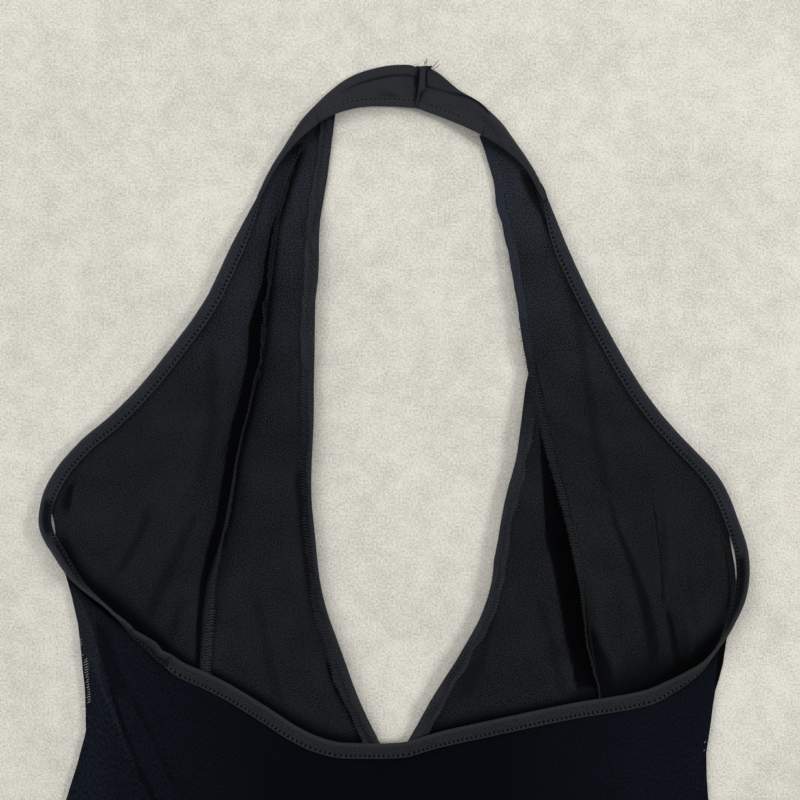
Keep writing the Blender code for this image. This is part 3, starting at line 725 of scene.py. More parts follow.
def overlock_stitches(name, rim, other, lift, needle, clear, seed, radius, thread, top=math.inf):
    """Overlock up to a height on the garment: a zigzag from the needle line to the free edge on each face,
    and a chain along the needle line. lift gives the cloth's surface, as for a strip."""
    shown = rim[:, 1] < top
    skipped = gone_along(rim)[shown][0]
    rim = rim[shown]
    across, normal, gone, _ = frames(rim, other[shown])
    starts = np.arange(OVERLOCK_PITCH, gone[-1] - 2 * OVERLOCK_PITCH, OVERLOCK_PITCH)
    chance = np.random.default_rng(seed)
    starts = starts + chance.uniform(-0.2, 0.2, len(starts))
    # Each thread's points: part of the width, upper or lower face, and part of a stitch gone
    zigzag = (
        (needle, 1, 0.0), (0.7, 1, 0.3), (0.98, 1, 0.5), (1.06, 0, 0.55), (0.98, -1, 0.7), (needle, -1, 1.1),
    )
    back_leg = (
        (0.99, 1, 0.5), (0.9, 1, 0.6), (0.75, 1, 0.75), (0.6, 1, 0.85), (0.45, 1, 0.95), (needle, 1, 1.05),
    )
    chain = (
        (needle, 1, 0.0), (needle + 0.05, 1, 0.2), (needle + 0.06, 1, 0.45), (needle + 0.02, 1, 0.7),
        (needle - 0.03, 1, 0.9), (needle, 1, 1.1),
    )
    sets = []
    for legs in (zigzag, back_leg, chain):
        path = np.empty((len(starts), len(legs), 3))
        loose = chance.uniform(-0.18, 0.18, len(starts))
        for i, (part, face, forward) in enumerate(legs):
            where = starts + forward * OVERLOCK_PITCH + loose
            tall = lift(where + skipped, part, np.full(len(where), 0.62 * face)) + face * clear + 0.4 * loose
            on_rim, over, up = (places_at(line, gone, where) for line in (rim, across, normal))
            path[:, i] = on_rim + over * (part + 0.5 * loose)[:, None] + up * tall[:, None]
        sets.append(path)
    ahead = places_at(np.gradient(rim, axis=0), gone, starts)
    return threads(name, np.concatenate(sets), np.tile(ahead + (0.13, 0.07, 0.31), (3, 1)), radius, thread)


# How far the left allowance's free edge leans aside, up the garment
LEAN = (
    (54, 62, 74, 86, 98, 108, 118, 132, 137, 145, 153, 160, 169, 173, 177, 184, 192, 198, 202, 205, 210, 216,
     227, 246),
    (2.4, 1.5, 2.7, 2.4, 2.1, 1.1, 0.5, 0.3, 0.5, -0.2, -0.7, 0, 1.9, 0, 0.5, -0.9, 0.1, -1.3, -1.4, 0.6, 1.1,
     -0.1, -0.8, -0.5),
)
LEFT_FLAT = 54.0  # below here the left allowance lies down flat

# The right one's foot creeps over the side panel and back, and its width closes to a thin edge down at the
# back's edge: up the garment, and how far across or how wide
FOOT_OUT = (
    (-40, -20, 0, 20, 36, 49, 76, 103, 120, 150, 162, 180, 192, 204, 216, 240, 252, 264, 276, 300),
    (0.6, -0.6, -1.4, -0.7, 0.3, 1.4, 2.2, 1.6, 1, 1, 0, -0.6, -0.7, -0.3, -0.7, -0.3, 0.4, -0.5, 0.6, 1),
)
SEAM_WIDTH = ((-40, -5, 12, 36, 49, 76, 103, 160), (0.9, 1.0, 1.6, 3.3, 4.9, 6.8, 7.0, 7.2))
THREAD_TOP = {"left": math.inf, "right": 190}  # above here the threads are buried in the stretched knit


def allowance(side, thick, waving, seed, radius, thread):
    """One overlocked allowance, wavy along its free edge."""
    node = "princess_allowance_" + side
    foot, edge = level_edges(node, 0.4, -2.0, lambda a, b: a[2] < b[2] - 0.5 or abs(a[0]) > abs(b[0]) + 3)
    foot = evenly(foot, 1.2)
    across = facing(foot, edge) - foot
    upright = past(across[:, 2], 0, OVERLOCK_WIDTH)
    across[:, 0] *= 1 - 0.55 * upright
    foot = stood(foot)
    height = foot[:, 1]
    if side == "left":
        across[:, 0] += (np.interp(height, *LEAN) - across[:, 0]) * past(height, LEFT_FLAT, 10)
        across[:, 2] *= np.interp(height, (180, 215, 250), (1, 0.75, 0.5))
        foot[:, 0] -= 1.8 * past(height, 50, -20)
        paler = 0 * upright
    else:
        foot[:, 2] += np.interp(height, *LAP_RIDGE)
        wider = (np.interp(height, *SEAM_WIDTH) / np.maximum(-across[:, 0], 1))[:, None]
        across *= wider ** np.array((1, 1, 0.5))
        foot[:, 0] += np.interp(height, *FOOT_OUT)
        paler = np.interp(height, (160, 200), (0, 0.9)) * (1 - upright)
    edge = foot + across
    gone = gone_along(foot)
    wave = waving * uneven(gone, 26, seed) + 0.25 * uneven(gone, 6, seed + 1)
    across, normal, gone, width = frames(foot, edge)
    narrow_at, narrow = gone, np.clip(width / 4, 0.4, 1)
    edge = edge + normal * (wave * (0.35 + 0.6 * upright))[:, None]
    edge = edge + across / width[:, None] * (wave * 0.3)[:, None]

    def lift(gone, part, height):
        return thick * height * np.interp(gone, narrow_at, narrow) + 0.1 * part * uneven(gone, 3.4, seed + 2)

    piece = strip(
        "princess_seam_" + side, foot, edge, ALLOWANCE_PROFILE, lift, seam_cloth, [node]
    )
    # Painted shade on the allowance's faces where it stands on edge; the right one's flat upper part is paler
    on_face = np.array(ALLOWANCE_PROFILE)[:, 0] < 0.95
    tinted(piece, 0.8 * upright[:, None] * on_face - paler[:, None])
    loops = overlock_stitches(
        "princess_overlock_" + side, foot, edge, lift, 0.2, 0.1, seed, radius, thread, THREAD_TOP[side]
    )
    return piece, loops


seam_left = allowance("left", 0.45, 0.15, 23, 0.17, overlock)
seam_right = allowance("right", 0.6, 0.6, 29, 0.13, overlock_right)

# ---- Neckline hems ----
# The neckline's raw edge is turned once to the inside and sewn down. The turn follows the stretchy edge
# unevenly, so it lies in long low ridges with a raised inner edge.

HEM_PROFILE = (
    (0.0, 0.0), (0.015, 0.35), (0.08, 0.5), (0.26, 0.45), (0.38, 0.45), (0.5, 0.45), (0.62, 0.45),
    (0.74, 0.48), (0.86, 0.5), (0.95, 0.55), (1.0, 0.2),
    (1.0, -0.3), (0.85, -0.4), (0.5, -0.4), (0.15, -0.4), (0.1, -0.45), (0.02, -0.45),
)
# Where a hem turns on edge it looks narrower and takes painted shade: up the garment, its part of the width,
# the painted shade inside the turn and the painted shade of the groove along its middle
HEM_TURNS = {
    "left": (
        (-70, -50, -20, 10, 40, 100, 140, 170, 300), (1.25, 1.35, 1.45, 1.2, 0.85, 0.8, 1, 1.15, 1.1),
        (0.3, 0.3, 0.2, 0.55, 0.93, 0.93, 0.5, 0.0, 0.0), (0.8, 0.8, 0.7, 0.6, 0.3, 0.2, 0.2, 0.25, 0.3),
    ),
    "right": (
        (-70, -40, -10, 40, 78, 84, 110, 142), (1.3, 1.3, 1.15, 1.05, 0.95, 1.1, 1, 1.05),
        (0, 0, 0.1, 0.15, 0.3, 0.1, 0, 0), (0.5, 0.5, 0.5, 0.5, 0.45, 0.4, 0.35, 0.35),
    ),
}
HEM_THREAD_TOP = {"left": 168, "right": 136}  # above here the threads lie buried in the turn

turned_cloth = jersey(
    "jersey of the turned hems", (0.0074, 0.0086, 0.0108), (0.0345, 0.0385, 0.046), 0.85, 0.06, 0.05
)
hem_thread = thread_finish("overlock thread of the hems", (0.005, 0.006, 0.0078), (0.044, 0.050, 0.064))


def neckline_hem(side, seed):
    """A turned hem with its row of overlock along the inner edge."""
    node = "neckline_hem_" + side
    turn, inner = level_edges(node, 0.3, -2.0, lambda a, b: (a[0] > b[0]) == (side == "left"))
    turn = evenly(turn, 1.5)
    inner = facing(turn, inner)
    turn, inner = stood(turn), stood(inner)
    turn[:, 0] += np.interp(turn[:, 1], *NECK_EASED[side])
    inner[:, 0] += np.interp(inner[:, 1], *NECK_EASED[side])
    across, _, gone, width = frames(turn, inner)
    levels, *turning = HEM_TURNS[side]
    narrowed, shade, groove = (np.interp(turn[:, 1], levels, values)[:, None] for values in turning)
    inner = turn + across * narrowed
    inner += across / width[:, None] * (0.8 * uneven(gone, 24, seed))[:, None]

    def lift(gone, part, height):
        twist = 1.05 * np.sin(2 * np.pi * (1.2 * part + gone / 95 + 0.4 * uneven(gone, 60, seed + 3)))
        ridges = 0.4 * uneven(gone, 46, seed + 1) * np.sin(np.pi * part)
        ridges = ridges + 0.3 * uneven(gone, 17, seed + 2) * part
        return height + np.where(height > 0, np.maximum(ridges + twist, -0.3) + 0.3 * part, 0)

    piece = strip(
        "neckline_turning_" + side, turn, inner, HEM_PROFILE, lift, turned_cloth, [node],
        drop=np.ones(len(turn)),
    )
    part = np.array(HEM_PROFILE)[None, :, 0]
    # Painted shade inside the turn and along the groove down its middle
    rolled = mound(part - 0.55 - 0.15 * uneven(gone, 44, seed + 4)[:, None], 0.14)
    shade = np.maximum(shade * past(part, 0.22, 0.2), groove * rolled)
    if side == "right":  # its upper end fades into painted shade under the strap
        shade = np.maximum(shade, np.clip((turn[:, 1:2] - 118) / 22, 0, 0.45))
    tinted(piece, shade)
    loops = overlock_stitches(
        "neckline_overlock_" + side, turn, inner, lift, 0.3, 0.08, seed, 0.13, hem_thread,
        HEM_THREAD_TOP[side],
    )
    return piece, loops


hem_left = neckline_hem("left", 31)
hem_right = neckline_hem("right", 37)

# ---- Halter strap ----
# The front runs on over each shoulder as the strap, turned over so that its right side shows, and the two
# halves meet in a seam at the nape. The cloth curls down into a fold along the strap's upper edge.

NECK_MIDDLE = np.array((0.0, 150.0, 0.0))
NAPE_SEAM = ((318.0, 331.0, 344.5), (12.7, 13.9, 15.3))  # up the garment, and where the halves meet across it
NAPE_TOP = 344.2
STRAP_CREASES = {
    "left": (
        (-52, 303, -20, 326, 2, 0.5, 5),
        (-12, 331, 8, 326, -1, 0.5, 4),
        (-70, 282, -48, 306, 1, 0.4, 3),
        (0, 338, 12, 337, 0, 0.35, 3),
    ),
    "right": (
        (34, 316, 58, 300, 1.5, 0.7, 4.5),
        (20, 334, 44, 318, -1, 0.4, 4),
        (60, 300, 66, 290, 1.5, 1.4, 4.5),
        (70, 290, 84, 270, -1, 0.5, 3),
    ),
}

# Painted shade on each strap half, in bands laid out as on the front panels
STRAP_SHADE = {
    "left": (
        (3.0, 3.0, 0.45, ((332, -10, -4), (326, -8, 2), (318, -2, 6))),
        (2.0, 4.0, 0.35, ((324, -46, -40), (312, -56, -50), (298, -64, -60))),
        (1.5, 2.0, 0.3, ((338, 4, 9), (328, 6, 11))),
    ),
    "right": (
        (0.5, 0.5, 0.9, ((347, 12, 16.4), (331, 11, 14.9), (315, 10, 13.4))),
        (9.0, 9.0, 0.16, ((342, 22, 40), (320, 40, 62), (290, 58, 78), (262, 70, 92))),
        (0.5, 0.5, 0.85, ((348, 18.6, 20), (343, 18.4, 19.7), (335, 18.2, 19.2))),
        (2.0, 2.0, 0.4, ((320, 44, 49), (306, 56, 61), (292, 66, 70))),
        (1.0, 1.5, 0.5, ((296, 62, 64.5), (284, 67, 70), (270, 74, 77))),
    ),
}
STRAP_RISE = ((-82, -70, -45, 57, 80, 92), (0.3, 0.8, 3.6, 3.6, 0.8, 0.3))  # across, and how high it stands
STRAP_ARC = {"left": (126, 84), "right": (50, 86)}  # angles round the neck, from shoulder to nape
STRAP_STEP = 1.5  # between the sections of a strap half

right_side = jersey(
    "jersey right side of the strap", (0.0135, 0.0148, 0.0178), (0.028, 0.0303, 0.0355), 0.85, 0.1, 0.06
)


def ring_cut(solid, angle):
    """Where a solid meets the upright half plane that runs out from the middle of the neck opening."""
    out = np.array((math.cos(angle), math.sin(angle), 0.0))
    points = cut(solid, NECK_MIDDLE, (-out[1], out[0], 0))
    return points[(points - NECK_MIDDLE) @ out > 0]


def ring_edges(node, start, stop, step=0.6):
    """A strip's outer and inner edge, followed round the neck from one angle to another, in degrees."""
    solid = solid_of(node)
    angles = np.radians(np.arange(start, stop, step if stop > start else -step))
    sections = [ring_cut(solid, angle) for angle in angles]
    return followed(
        sections, lambda a, b: np.linalg.norm(a - NECK_MIDDLE) > np.linalg.norm(b - NECK_MIDDLE)
    )


def to_nape(line, beyond=0.0):
    """A strap edge run straight on to the seam at the nape, or beyond it."""
    run = line[-2] - line[-4]
    stop = np.interp(line[-2][1], *NAPE_SEAM) + beyond
    end = line[-2] + run * (stop - line[-2][0]) / run[0]
    end[1] = min(end[1], NAPE_TOP)
    return np.concatenate((line[:-1], [end]))


def strap_half(side, seed):
    """One half of the strap, from the shoulder to the nape."""
    node = "strap_" + side
    upper, lower = ring_edges(node, *STRAP_ARC[side], 0.5)
    overlap, closed = (0.0, 0.45) if side == "left" else (-1.8, -0.32)
    lower = evenly(to_nape(longer(lower, 3, 0), overlap), STRAP_STEP)
    upper = shared_out(evenly(to_nape(longer(upper, 3, 0), overlap), STRAP_STEP), len(lower))
    # The upper edge closes in or out over the first 14 mm, where the armhole's binding begins
    closing = np.clip(1 - np.arange(len(lower)) * STRAP_STEP / 14, 0, 1)[:, None]
    upper += (lower - upper) * closed * closing**1.5
    parts = spread(44, 0.015)
    rows = lower[:, None] + (upper - lower)[:, None] * parts[None, :, None]
    x, y = rows[..., 0], rows[..., 1]
    width = np.linalg.norm(upper - lower, axis=1)[:, None]
    rounded = np.clip(1 - parts, 0, 1) ** 0.6
    z = softened(top_of(node, x, y), 3) - HALF_WALL + np.interp(x, *STRAP_RISE) * rounded
    z += creased(x, y, STRAP_CREASES[side]) * np.sin(np.pi * np.clip(parts * 1.05, 0, 1)) ** 0.5
    z += 0.12 * uneven(x + y, 21, seed) * np.sin(np.pi * parts)
    painted_tone = in_painted_bands(x, y, STRAP_SHADE[side])
    meeting = np.interp(y, *NAPE_SEAM)
    if side == "left":  # the hem turned down inside shows as a step below the fold, with painted shade along it
        below_hem = (1 - parts)[None, :] * width - OVERLOCK_WIDTH
        near_nape = past(x, -34, 14)
        z += 0.9 * near_nape / (1 + np.exp(below_hem / 0.22))
        painted_tone = np.maximum(painted_tone, 0.85 * near_nape * mound(below_hem, 0.55))
        # Painted shade on the left half's end, in the gap at the nape seam
        dark_end = meeting - np.interp(y, (318, 329, 332, 338, 341), (0.7, 0.8, 1.8, 1.8, 0.8))
        painted_tone = np.maximum(painted_tone, 0.92 * past(x, dark_end, 0.4))
    else:  # the end of the right half tucks in under the left one
        z -= 1.4 * past(x, meeting + 2.2, -1.2)
    z[:, -1] = np.minimum(z[:, -1], 0.6)
    rows = np.stack((x, y, np.maximum(z, LOWEST)), -1)
    return panel(node + "_half", rows, painted_tone, right_side, "jersey_outside", [node])


strap_left = strap_half("left", 41)
strap_right = strap_half("right", 43)

# The neckline hem of the right half shows turned over along the fold, down from the nape. Its sewn edge,
# across and up the garment:
TURNED_LINE = (
    (69.5, 304.1), (67.2, 308), (61.7, 313.4), (53.9, 320.4), (46.5, 325), (38.1, 326.8), (28.2, 328.4),
    (20, 331),
)
TURNED_STEP = 1.2
PAST_NAPE = 4.6  # how far the turned hem runs on under the left half

turned_rim, turned_inner = ring_edges("strap_hem_right", *STRAP_ARC["right"], 0.5)
turned_rim = evenly(to_nape(turned_rim, PAST_NAPE), TURNED_STEP)
hem_height = shared_out(evenly(to_nape(turned_inner, PAST_NAPE), TURNED_STEP), len(turned_rim))[:, 2].mean()
turned_way = np.linspace(0, 1, len(turned_rim))
hem_line = np.array([(x, y, hem_height) for x, y in TURNED_LINE if x < turned_rim[0, 0] + 1])
hem_line = np.concatenate((turned_rim[:1] - (0.5, 1.5, 0.6), hem_line))
turned_inner = shared_out(evenly(hem_line, TURNED_STEP), len(turned_rim))
turned_rim[:, 2] += 0.6
turned_inner[:, 2] = turned_rim[:, 2] + np.interp(turned_way, (0, 0.5, 1), (0.4, 0.9, 1.6))
turned_strap = jersey(
    "jersey of the strap's turned hem", (0.009, 0.010, 0.0128), (0.026, 0.0285, 0.034), 0.85, 0.1, 0.06
)
strap_hem = strip(
    "strap_turned_hem", turned_rim, turned_inner, HEM_PROFILE,
    lambda gone, part, height: height + np.where(height > 0, 0.3 * uneven(gone, 19, 47) * part, 0),
    turned_strap, ["strap_hem_right"],
)
tinted(strap_hem, np.repeat(0.6 * past(turned_way, 0.45, -0.1), len(HEM_PROFILE)))

# ---- Nape seam ----
# The two strap halves are overlocked together and the allowance is laid over to the right. Its raw corner
# and a few thread ends stick up past the strap's edge.

NAPE_WIDTH = 3.2
NAPE_THICK = 1.25
OVERLOCKED_FROM = 330.2  # below here the thread is hidden in the strap's fold

seam_line = evenly(level_edges("nape_seam", 1.2, 0.8, lambda a, b: a[0] < b[0])[0], 0.7)
seam_y = seam_line[:, 1]
seam_line[:, 2] += np.interp(seam_y, (317, 325, 331, 336, 345, 348), (2.9, 2.9, 3.0, 2.8, 1.6, 1.6))
seam_line[:, 0] += np.interp(seam_y, (317, 331), (-1.7, 0))
free_line = seam_line + np.array((NAPE_WIDTH, -1.4, 0.0))
# The raw corner reaches out at its upper end
free_line[:, 0] += np.interp(seam_y, (328.4, 330.4, 341, 342, 345), (-2.7, 0, 0, 4, 5.5))
free_line[:, 1] += np.interp(seam_y, (338, 345), (0, 2.6))
nape = strip(
    "nape_allowance", seam_line, free_line, ALLOWANCE_PROFILE,
    lambda gone, part, height: height * NAPE_THICK + 0.35 * np.sin(np.pi * part) * (height > 0),
    right_side, ["nape_seam"],
)
tinted(nape, 0.75 * (seam_y > 341.5)[:, None] * (np.array(ALLOWANCE_PROFILE)[:, 0] > 0.55))
caught = seam_y > OVERLOCKED_FROM
nape_loops = overlock_stitches(
    "nape_overlock", seam_line[caught], free_line[caught],
    lambda gone, part, height: height * NAPE_THICK + 0.3 * (height > 0), 0.5, 0.06, 53, 0.1, hem_thread,
)
TAILS = (
    ((18.1, 342.8, 2.6), (18.5, 344.8, 3.6), (19.2, 346.3, 4.2), (20.0, 347.7, 4.6)),
    ((19.6, 342.8, 2.6), (19.5, 344.6, 3.4), (19.8, 346.0, 3.9), (20.4, 347.3, 4.2)),
    ((23.0, 341.6, 2.6), (24.4, 343.7, 3.4), (25.7, 345.2, 4.0), (27.2, 346.8, 4.4)),
    ((23.6, 341.0, 2.4), (25.2, 342.3, 3.0), (26.5, 343.3, 3.4), (27.8, 344.2, 3.4)),
)
upright_ends = np.tile((0.0, 0.0, 1.0), (len(TAILS), 1))
tails = threads("nape_thread_tails", np.array(TAILS), upright_ends, 0.2, overlock)

# ---- Back ----
# One cut, low across the back, lying right side up over the front. Its bound top edge curves from underarm
# to underarm, and it rolls down to the side seams, the leg openings and the crotch.

BACK_CREASES = (
    (-196, 8, -168, -70, 5, 1.2, 11),
    (-176, -20, -150, -116, -4, 1.3, 12),
    (-160, -2, -128, -90, 5, 0.8, 9),
    (-128, -36, -110, -120, -5, 0.7, 12),
    (-30, -68, -34, -96, 1, 0.5, 5),
    (-4, -66, 0, -90, -1, 0.5, 5),
    (60, -60, 84, -150, 6, 0.7, 16),
    (130, -44, 158, -120, -6, 0.9, 14),
    (186, -20, 172, -96, 3, 0.9, 9),
    (-60, -130, -10, -250, 10, 1.0, 18),
    (60, -170, 30, -280, -8, 0.9, 15),
    (-150, -160, -90, -240, 8, 1.1, 16),
    (140, -160, 96, -250, -9, 1.0, 17),
    (-20, -290, 10, -330, 2, 0.8, 9),
)
# Painted shade on the back in bands, laid out as on the front panels
BACK_PANEL_SHADE = (
    (1.5, 4.0, 0.9, (
        (-20, -171.5, -169.5), (-30, -168.6, -166.2), (-41, -165.2, -162.4), (-59, -159.8, -156.6),
        (-73, -154.8, -151), (-88, -147, -143), (-104, -140, -136),
    )),
    (2.0, 7.0, 0.75, (
        (-26, -160, -156), (-44, -152, -148), (-63, -142, -138), (-82, -133.5, -129), (-100, -123, -118),
    )),
    (2.5, 12.0, 0.62, ((16, -179, -172), (0, -176, -166), (-18, -172, -160), (-38, -164, -152))),
    (8.0, 8.0, 0.45, ((-34, 150, 176), (-44, 146, 178), (-60, 152, 172))),
    (1.0, 1.6, 0.6, ((-66, -23.5, -21.5), (-76, -23, -21))),
    (1.0, 1.6, 0.6, ((-66, -1.5, 1), (-76, -1, 1))),
    (4.0, 4.0, 0.5, ((-60, 186, 190), (-90, 180, 184), (-130, 172, 178))),
    (3.0, 5.0, 0.5, ((-110, -140, -134), (-170, -112, -104), (-230, -84, -76))),
    (5.0, 3.0, 0.5, ((-110, 128, 134), (-170, 104, 112), (-230, 80, 88))),
    (3.0, 4.0, 0.45, ((-150, -40, -34), (-210, -24, -16), (-270, -12, -4))),
)
# The cloth turned round the left side catches the light, in a flap that ends on a thin ridge
BACK_LIT = (
    (1.0, 1.2, 0.66, (
        (36, -202, -193), (24, -200, -186), (15, -198, -181.8), (6, -196, -178.8), (-3, -192, -176.3),
        (-10, -183, -174.6), (-17, -178.6, -174.4), (-26, -175, -172.5),
    )),
    (0.9, 1.1, 0.5, (
        (-12, -180.5, -177.5), (-20, -177, -174.8), (-30, -173.4, -171.4), (-40, -168.8, -166.9),
        (-52, -163.8, -162), (-67, -158, -156.4), (-80, -152, -150.6),
    )),
)
BACK_STEP = 2.6
BELOW_TOP = -72.0  # nowhere does the top edge dip as low as this
WAIST = -95.0

back_side = jersey(
    "jersey right side of the back", (0.0044, 0.0057, 0.0089), (0.0100, 0.0129, 0.0198), 0.95, 0.0, 0.02,
    slant=0.45, wale=0.75, paler_by=(2.2, 2.0, 1.65),
)

solid = solid_of("back")
crotch = solid[..., 1].min()
across_x = np.arange(solid[..., 0].min() + 1, solid[..., 0].max() - 1, 1.0)
upper_y = upper_edge(solid, across_x)
tips_x, upper_y = across_x[upper_y > BELOW_TOP], upper_y[upper_y > BELOW_TOP]
levels = np.arange(crotch + 0.05, 60, 1.5)
side_points = {-1: [], 1: []}
for y in levels:
    points = level_cut(solid, y)[:, 0]
    if len(points) and points.min() < -20:
        side_points[-1].append((y, points.min()))
    if len(points) and points.max() > 0:
        side_points[1].append((y, points.max()))


def outer(y, side):
    """The back's left or right edge at a height up the garment."""
    return np.interp(y, *np.array(side_points[side]).T)


def between_sides(y, part):
    """Points so far over from the left edge of the back to the right one, at their heights."""
    return np.stack((outer(y, -1) + (outer(y, 1) - outer(y, -1)) * part, y), -1)


back_parts = spread(240, 0.002)
top_x = tips_x[0] + (tips_x[-1] - tips_x[0]) * back_parts
top_y = np.interp(top_x, tips_x, upper_y)
top_part = (top_x - outer(top_y, -1)) / (outer(top_y, 1) - outer(top_y, -1))
rows = []
for blend in np.linspace(0, 1, 46):
    rows.append(between_sides(top_y + (WAIST - top_y) * blend, top_part + (back_parts - top_part) * blend))
for y in np.arange(WAIST - BACK_STEP, crotch, -BACK_STEP):
    rows.append(between_sides(np.full(len(back_parts), max(y, crotch + 0.1)), back_parts))
x, y = np.moveaxis(np.array(rows), -1, 0)
z = softened(top_of("back", x, y), 8) - HALF_WALL
z = z + hand_of_cloth(x, y, 59) + creased(x, y, BACK_CREASES)
# Painted shade just under the binding's raised edge, and across the back, deepest in its middle
below = np.interp(x, tips_x, upper_y) - y
under_binding = 0.6 * mound(below, 11) * np.interp(x, (-120, -80, 60, 90), (0.3, 1, 1, 0.5))
shade_across_back = np.interp(
    x, (-190, -178, -164, -130, -60, 60, 150, 190), (0, 0, 0.3, 0.52, 0.8, 0.8, 0.46, 0.38)
)
painted_tone = np.maximum(np.maximum(in_painted_bands(x, y, BACK_PANEL_SHADE), under_binding), shade_across_back)
lit = in_painted_bands(x, y, BACK_LIT)
back = panel(
    "back_panel", np.stack((x, y, z), -1), painted_tone * (1 - lit) - lit, back_side, "jersey_outside", ["back"]
)

# Threads of the side seams' overlock show at the rolled edge: side, up the garment from and to, part of the
# stitches that show, how far inside the edge and how wide
SEAM_SHOWS = (
    (-1, -36.0, -10.0, 1.0, 2.9, 1.0),
    (-1, -8.0, 7.0, 0.5, 1.1, 0.4),
    (1, -60.0, -5.0, 0.06, 2.0, 0.3),
    (1, -104.0, -60.0, 0.04, 2.0, 0.3),
)
SHOW_PITCH = 1.5  # between one stitch and the next
BARS = ((-1.5, -0.75), (-0.8, -0.5), (0.0, 0.0), (0.8, 0.5), (1.5, 0.55))  # a thread's bends, across and up

chance = np.random.default_rng(57)
shows = []
for which, low, high, share, inset, wide in SEAM_SHOWS:
    at = np.arange(low, high, SHOW_PITCH)
    at = at[chance.uniform(0, 1, len(at)) < share]
    place = outer(at, which) - which * (inset + chance.uniform(-0.25, 0.25, len(at)))
    shows.append((place, at, wide * chance.uniform(0.6, 1.05, len(at)), chance.uniform(0.35, 0.95, len(at))))
show_x, show_y, show_wide, show_lean = np.concatenate(shows, 1)
spots = np.argmin((show_x[:, None] - x.ravel()) ** 2 + (show_y[:, None] - y.ravel()) ** 2, axis=1)
show_z = z.ravel()[spots] + 0.55
seam_paths = np.stack(
    [np.stack((show_x + show_wide * dx, show_y + show_lean * dy, show_z), -1) for dx, dy in BARS], 1
)
bright_thread = thread_finish("overlock thread in the light", (0.03, 0.032, 0.035), (0.75, 0.75, 0.72), 0.5)
seam_bars = threads(
    "side_seam_stitches", seam_paths, np.tile((0.0, 0.0, 1.0), (len(show_x), 1)), 0.14, bright_thread
)

# ---- Binding of the armholes and the back's edge ----
# One bias strip of jersey, folded round the raw edge and sewn through both sides with a single row. It runs
# down each armhole, stands on edge round the underarm, turns over and goes on across the back.

STITCH = 2.75
STITCH_LINE = 0.8  # part of the width, from the folded rim
BINDING_STEP = STITCH / 5  # between the sections of a binding
BINDING_PROFILE = (
    (0.0, 0.0), (0.006, 0.4), (0.03, 0.72), (0.09, 0.9), (0.2, 0.97), (0.4, 0.95), (0.58, 0.86), (0.7, 0.72),
    (0.76, 0.56), (0.8, 0.42), (0.84, 0.54), (0.9, 0.62), (0.97, 0.5), (1.0, 0.15),
    (1.0, -0.15), (0.97, -0.5), (0.9, -0.62), (0.84, -0.54), (0.8, -0.42), (0.76, -0.56),
    (0.7, -0.72), (0.58, -0.8), (0.4, -0.85), (0.2, -0.85), (0.09, -0.8), (0.03, -0.66), (0.006, -0.4),
)


def ramp(tree, value, start, stop, *ends):
    """How far a value has gone from start to stop, as 0 to 1 or between two other ends."""
    return add(tree, "MapRange", *enumerate((value, start, stop, *ends))).outputs[0]


# The needle's holes with painted shade, and painted highlights on the turned-under edge and the rounded rim
holes, given, result = new_group(
    "needle holes", (("Seam", "Vector"),), (("Hole", "Float"), ("Lip", "Float"), ("Rim", "Float"))
)
over, along, _ = add(holes, "SeparateXYZ", (0, given["Seam"])).outputs
aside = worked_out(holes, "MULTIPLY", worked_out(holes, "SUBTRACT", over, STITCH_LINE), 8.0)
near = worked_out(holes, "PINGPONG", worked_out(holes, "DIVIDE", along, STITCH), 0.5)
flat = add(holes, "CombineXYZ", (0, aside), (1, worked_out(holes, "MULTIPLY", near, STITCH)))
away = add(holes, "VectorMath", (0, flat.outputs[0]), operation="LENGTH").outputs["Value"]
from_edge = worked_out(holes, "ABSOLUTE", worked_out(holes, "SUBTRACT", over, 0.95))
holes.links.new(ramp(holes, away, 0.6, 0.95, 1.0, 0.0), result["Hole"])
holes.links.new(ramp(holes, from_edge, 0.015, 0.05, 1.0, 0.0), result["Lip"])
holes.links.new(ramp(holes, over, 0.06, 0.26, 1.0, 0.0), result["Rim"])


def stitched(material, dark, light):
    """Adds painted shade at the needle holes and painted highlights at the turned edge and rim to a jersey's
    colour.
    """
    tree = material.node_tree
    color = tree.nodes["Principled BSDF"].inputs["Base Color"]
    row = add(tree, "Group", ("Seam", add(tree, "UVMap", uv_map="seam").outputs[0]), node_tree=holes).outputs
    # Painted highlights on the rounded rim and the turned-under edge
    painted_highlight = worked_out(tree, "MULTIPLY", row["Rim"], 0.4)
    painted_highlight = worked_out(tree, "MULTIPLY_ADD", row["Lip"], 0.4, painted_highlight)
    lipped = blended(tree, painted_highlight, color.links[0].from_socket, (*light, 1))
    tree.links.new(blended(tree, row["Hole"], lipped, (*dark, 1)), color)
    return material


binding_cloth = stitched(
    jersey("jersey of the binding", (0.0100, 0.0118, 0.0158), (0.0292, 0.0332, 0.0424), 0.8, 0.06, 0.04, 0.5),
    (0.0004, 0.0004, 0.0006), (0.050, 0.054, 0.062),
)

# The strip lies turned over across the back, where the light falls flatter: painted shade dulls it there
edge_cloth = binding_cloth.copy()
edge_cloth.name = "jersey of the edge binding"
tree = edge_cloth.node_tree
color = tree.nodes["Principled BSDF"].inputs["Base Color"]
up_garment = add(tree, "SeparateXYZ", (0, add(tree, "TexCoord").outputs["Object"])).outputs[1]
dulled = blended(tree, ramp(tree, up_garment, 0.01, 0.07), (0.80, 0.78, 0.70, 1), (1, 1, 1, 1))
shaded_below = blended(tree, 1.0, color.links[0].from_socket, dulled, blend_type="MULTIPLY")
tree.links.new(shaded_below, color)


def puckered(seed):
    """The binding's surface: pits at the needle holes, slight swells beside them, and an uneven fold."""

    def lift(gone, part, height):
        beat = np.cos(2 * np.pi * gone / STITCH)
        pit = 0.9 * mound(part - STITCH_LINE, 0.07) * (0.5 + 0.5 * beat) ** 2
        swell = 0.08 * beat * mound(part - 0.62, 0.14)
        soft = 1 + 0.12 * uneven(gone, 16, seed) * np.sin(np.pi * part)
        return height * (soft - pit - swell)

    return lift


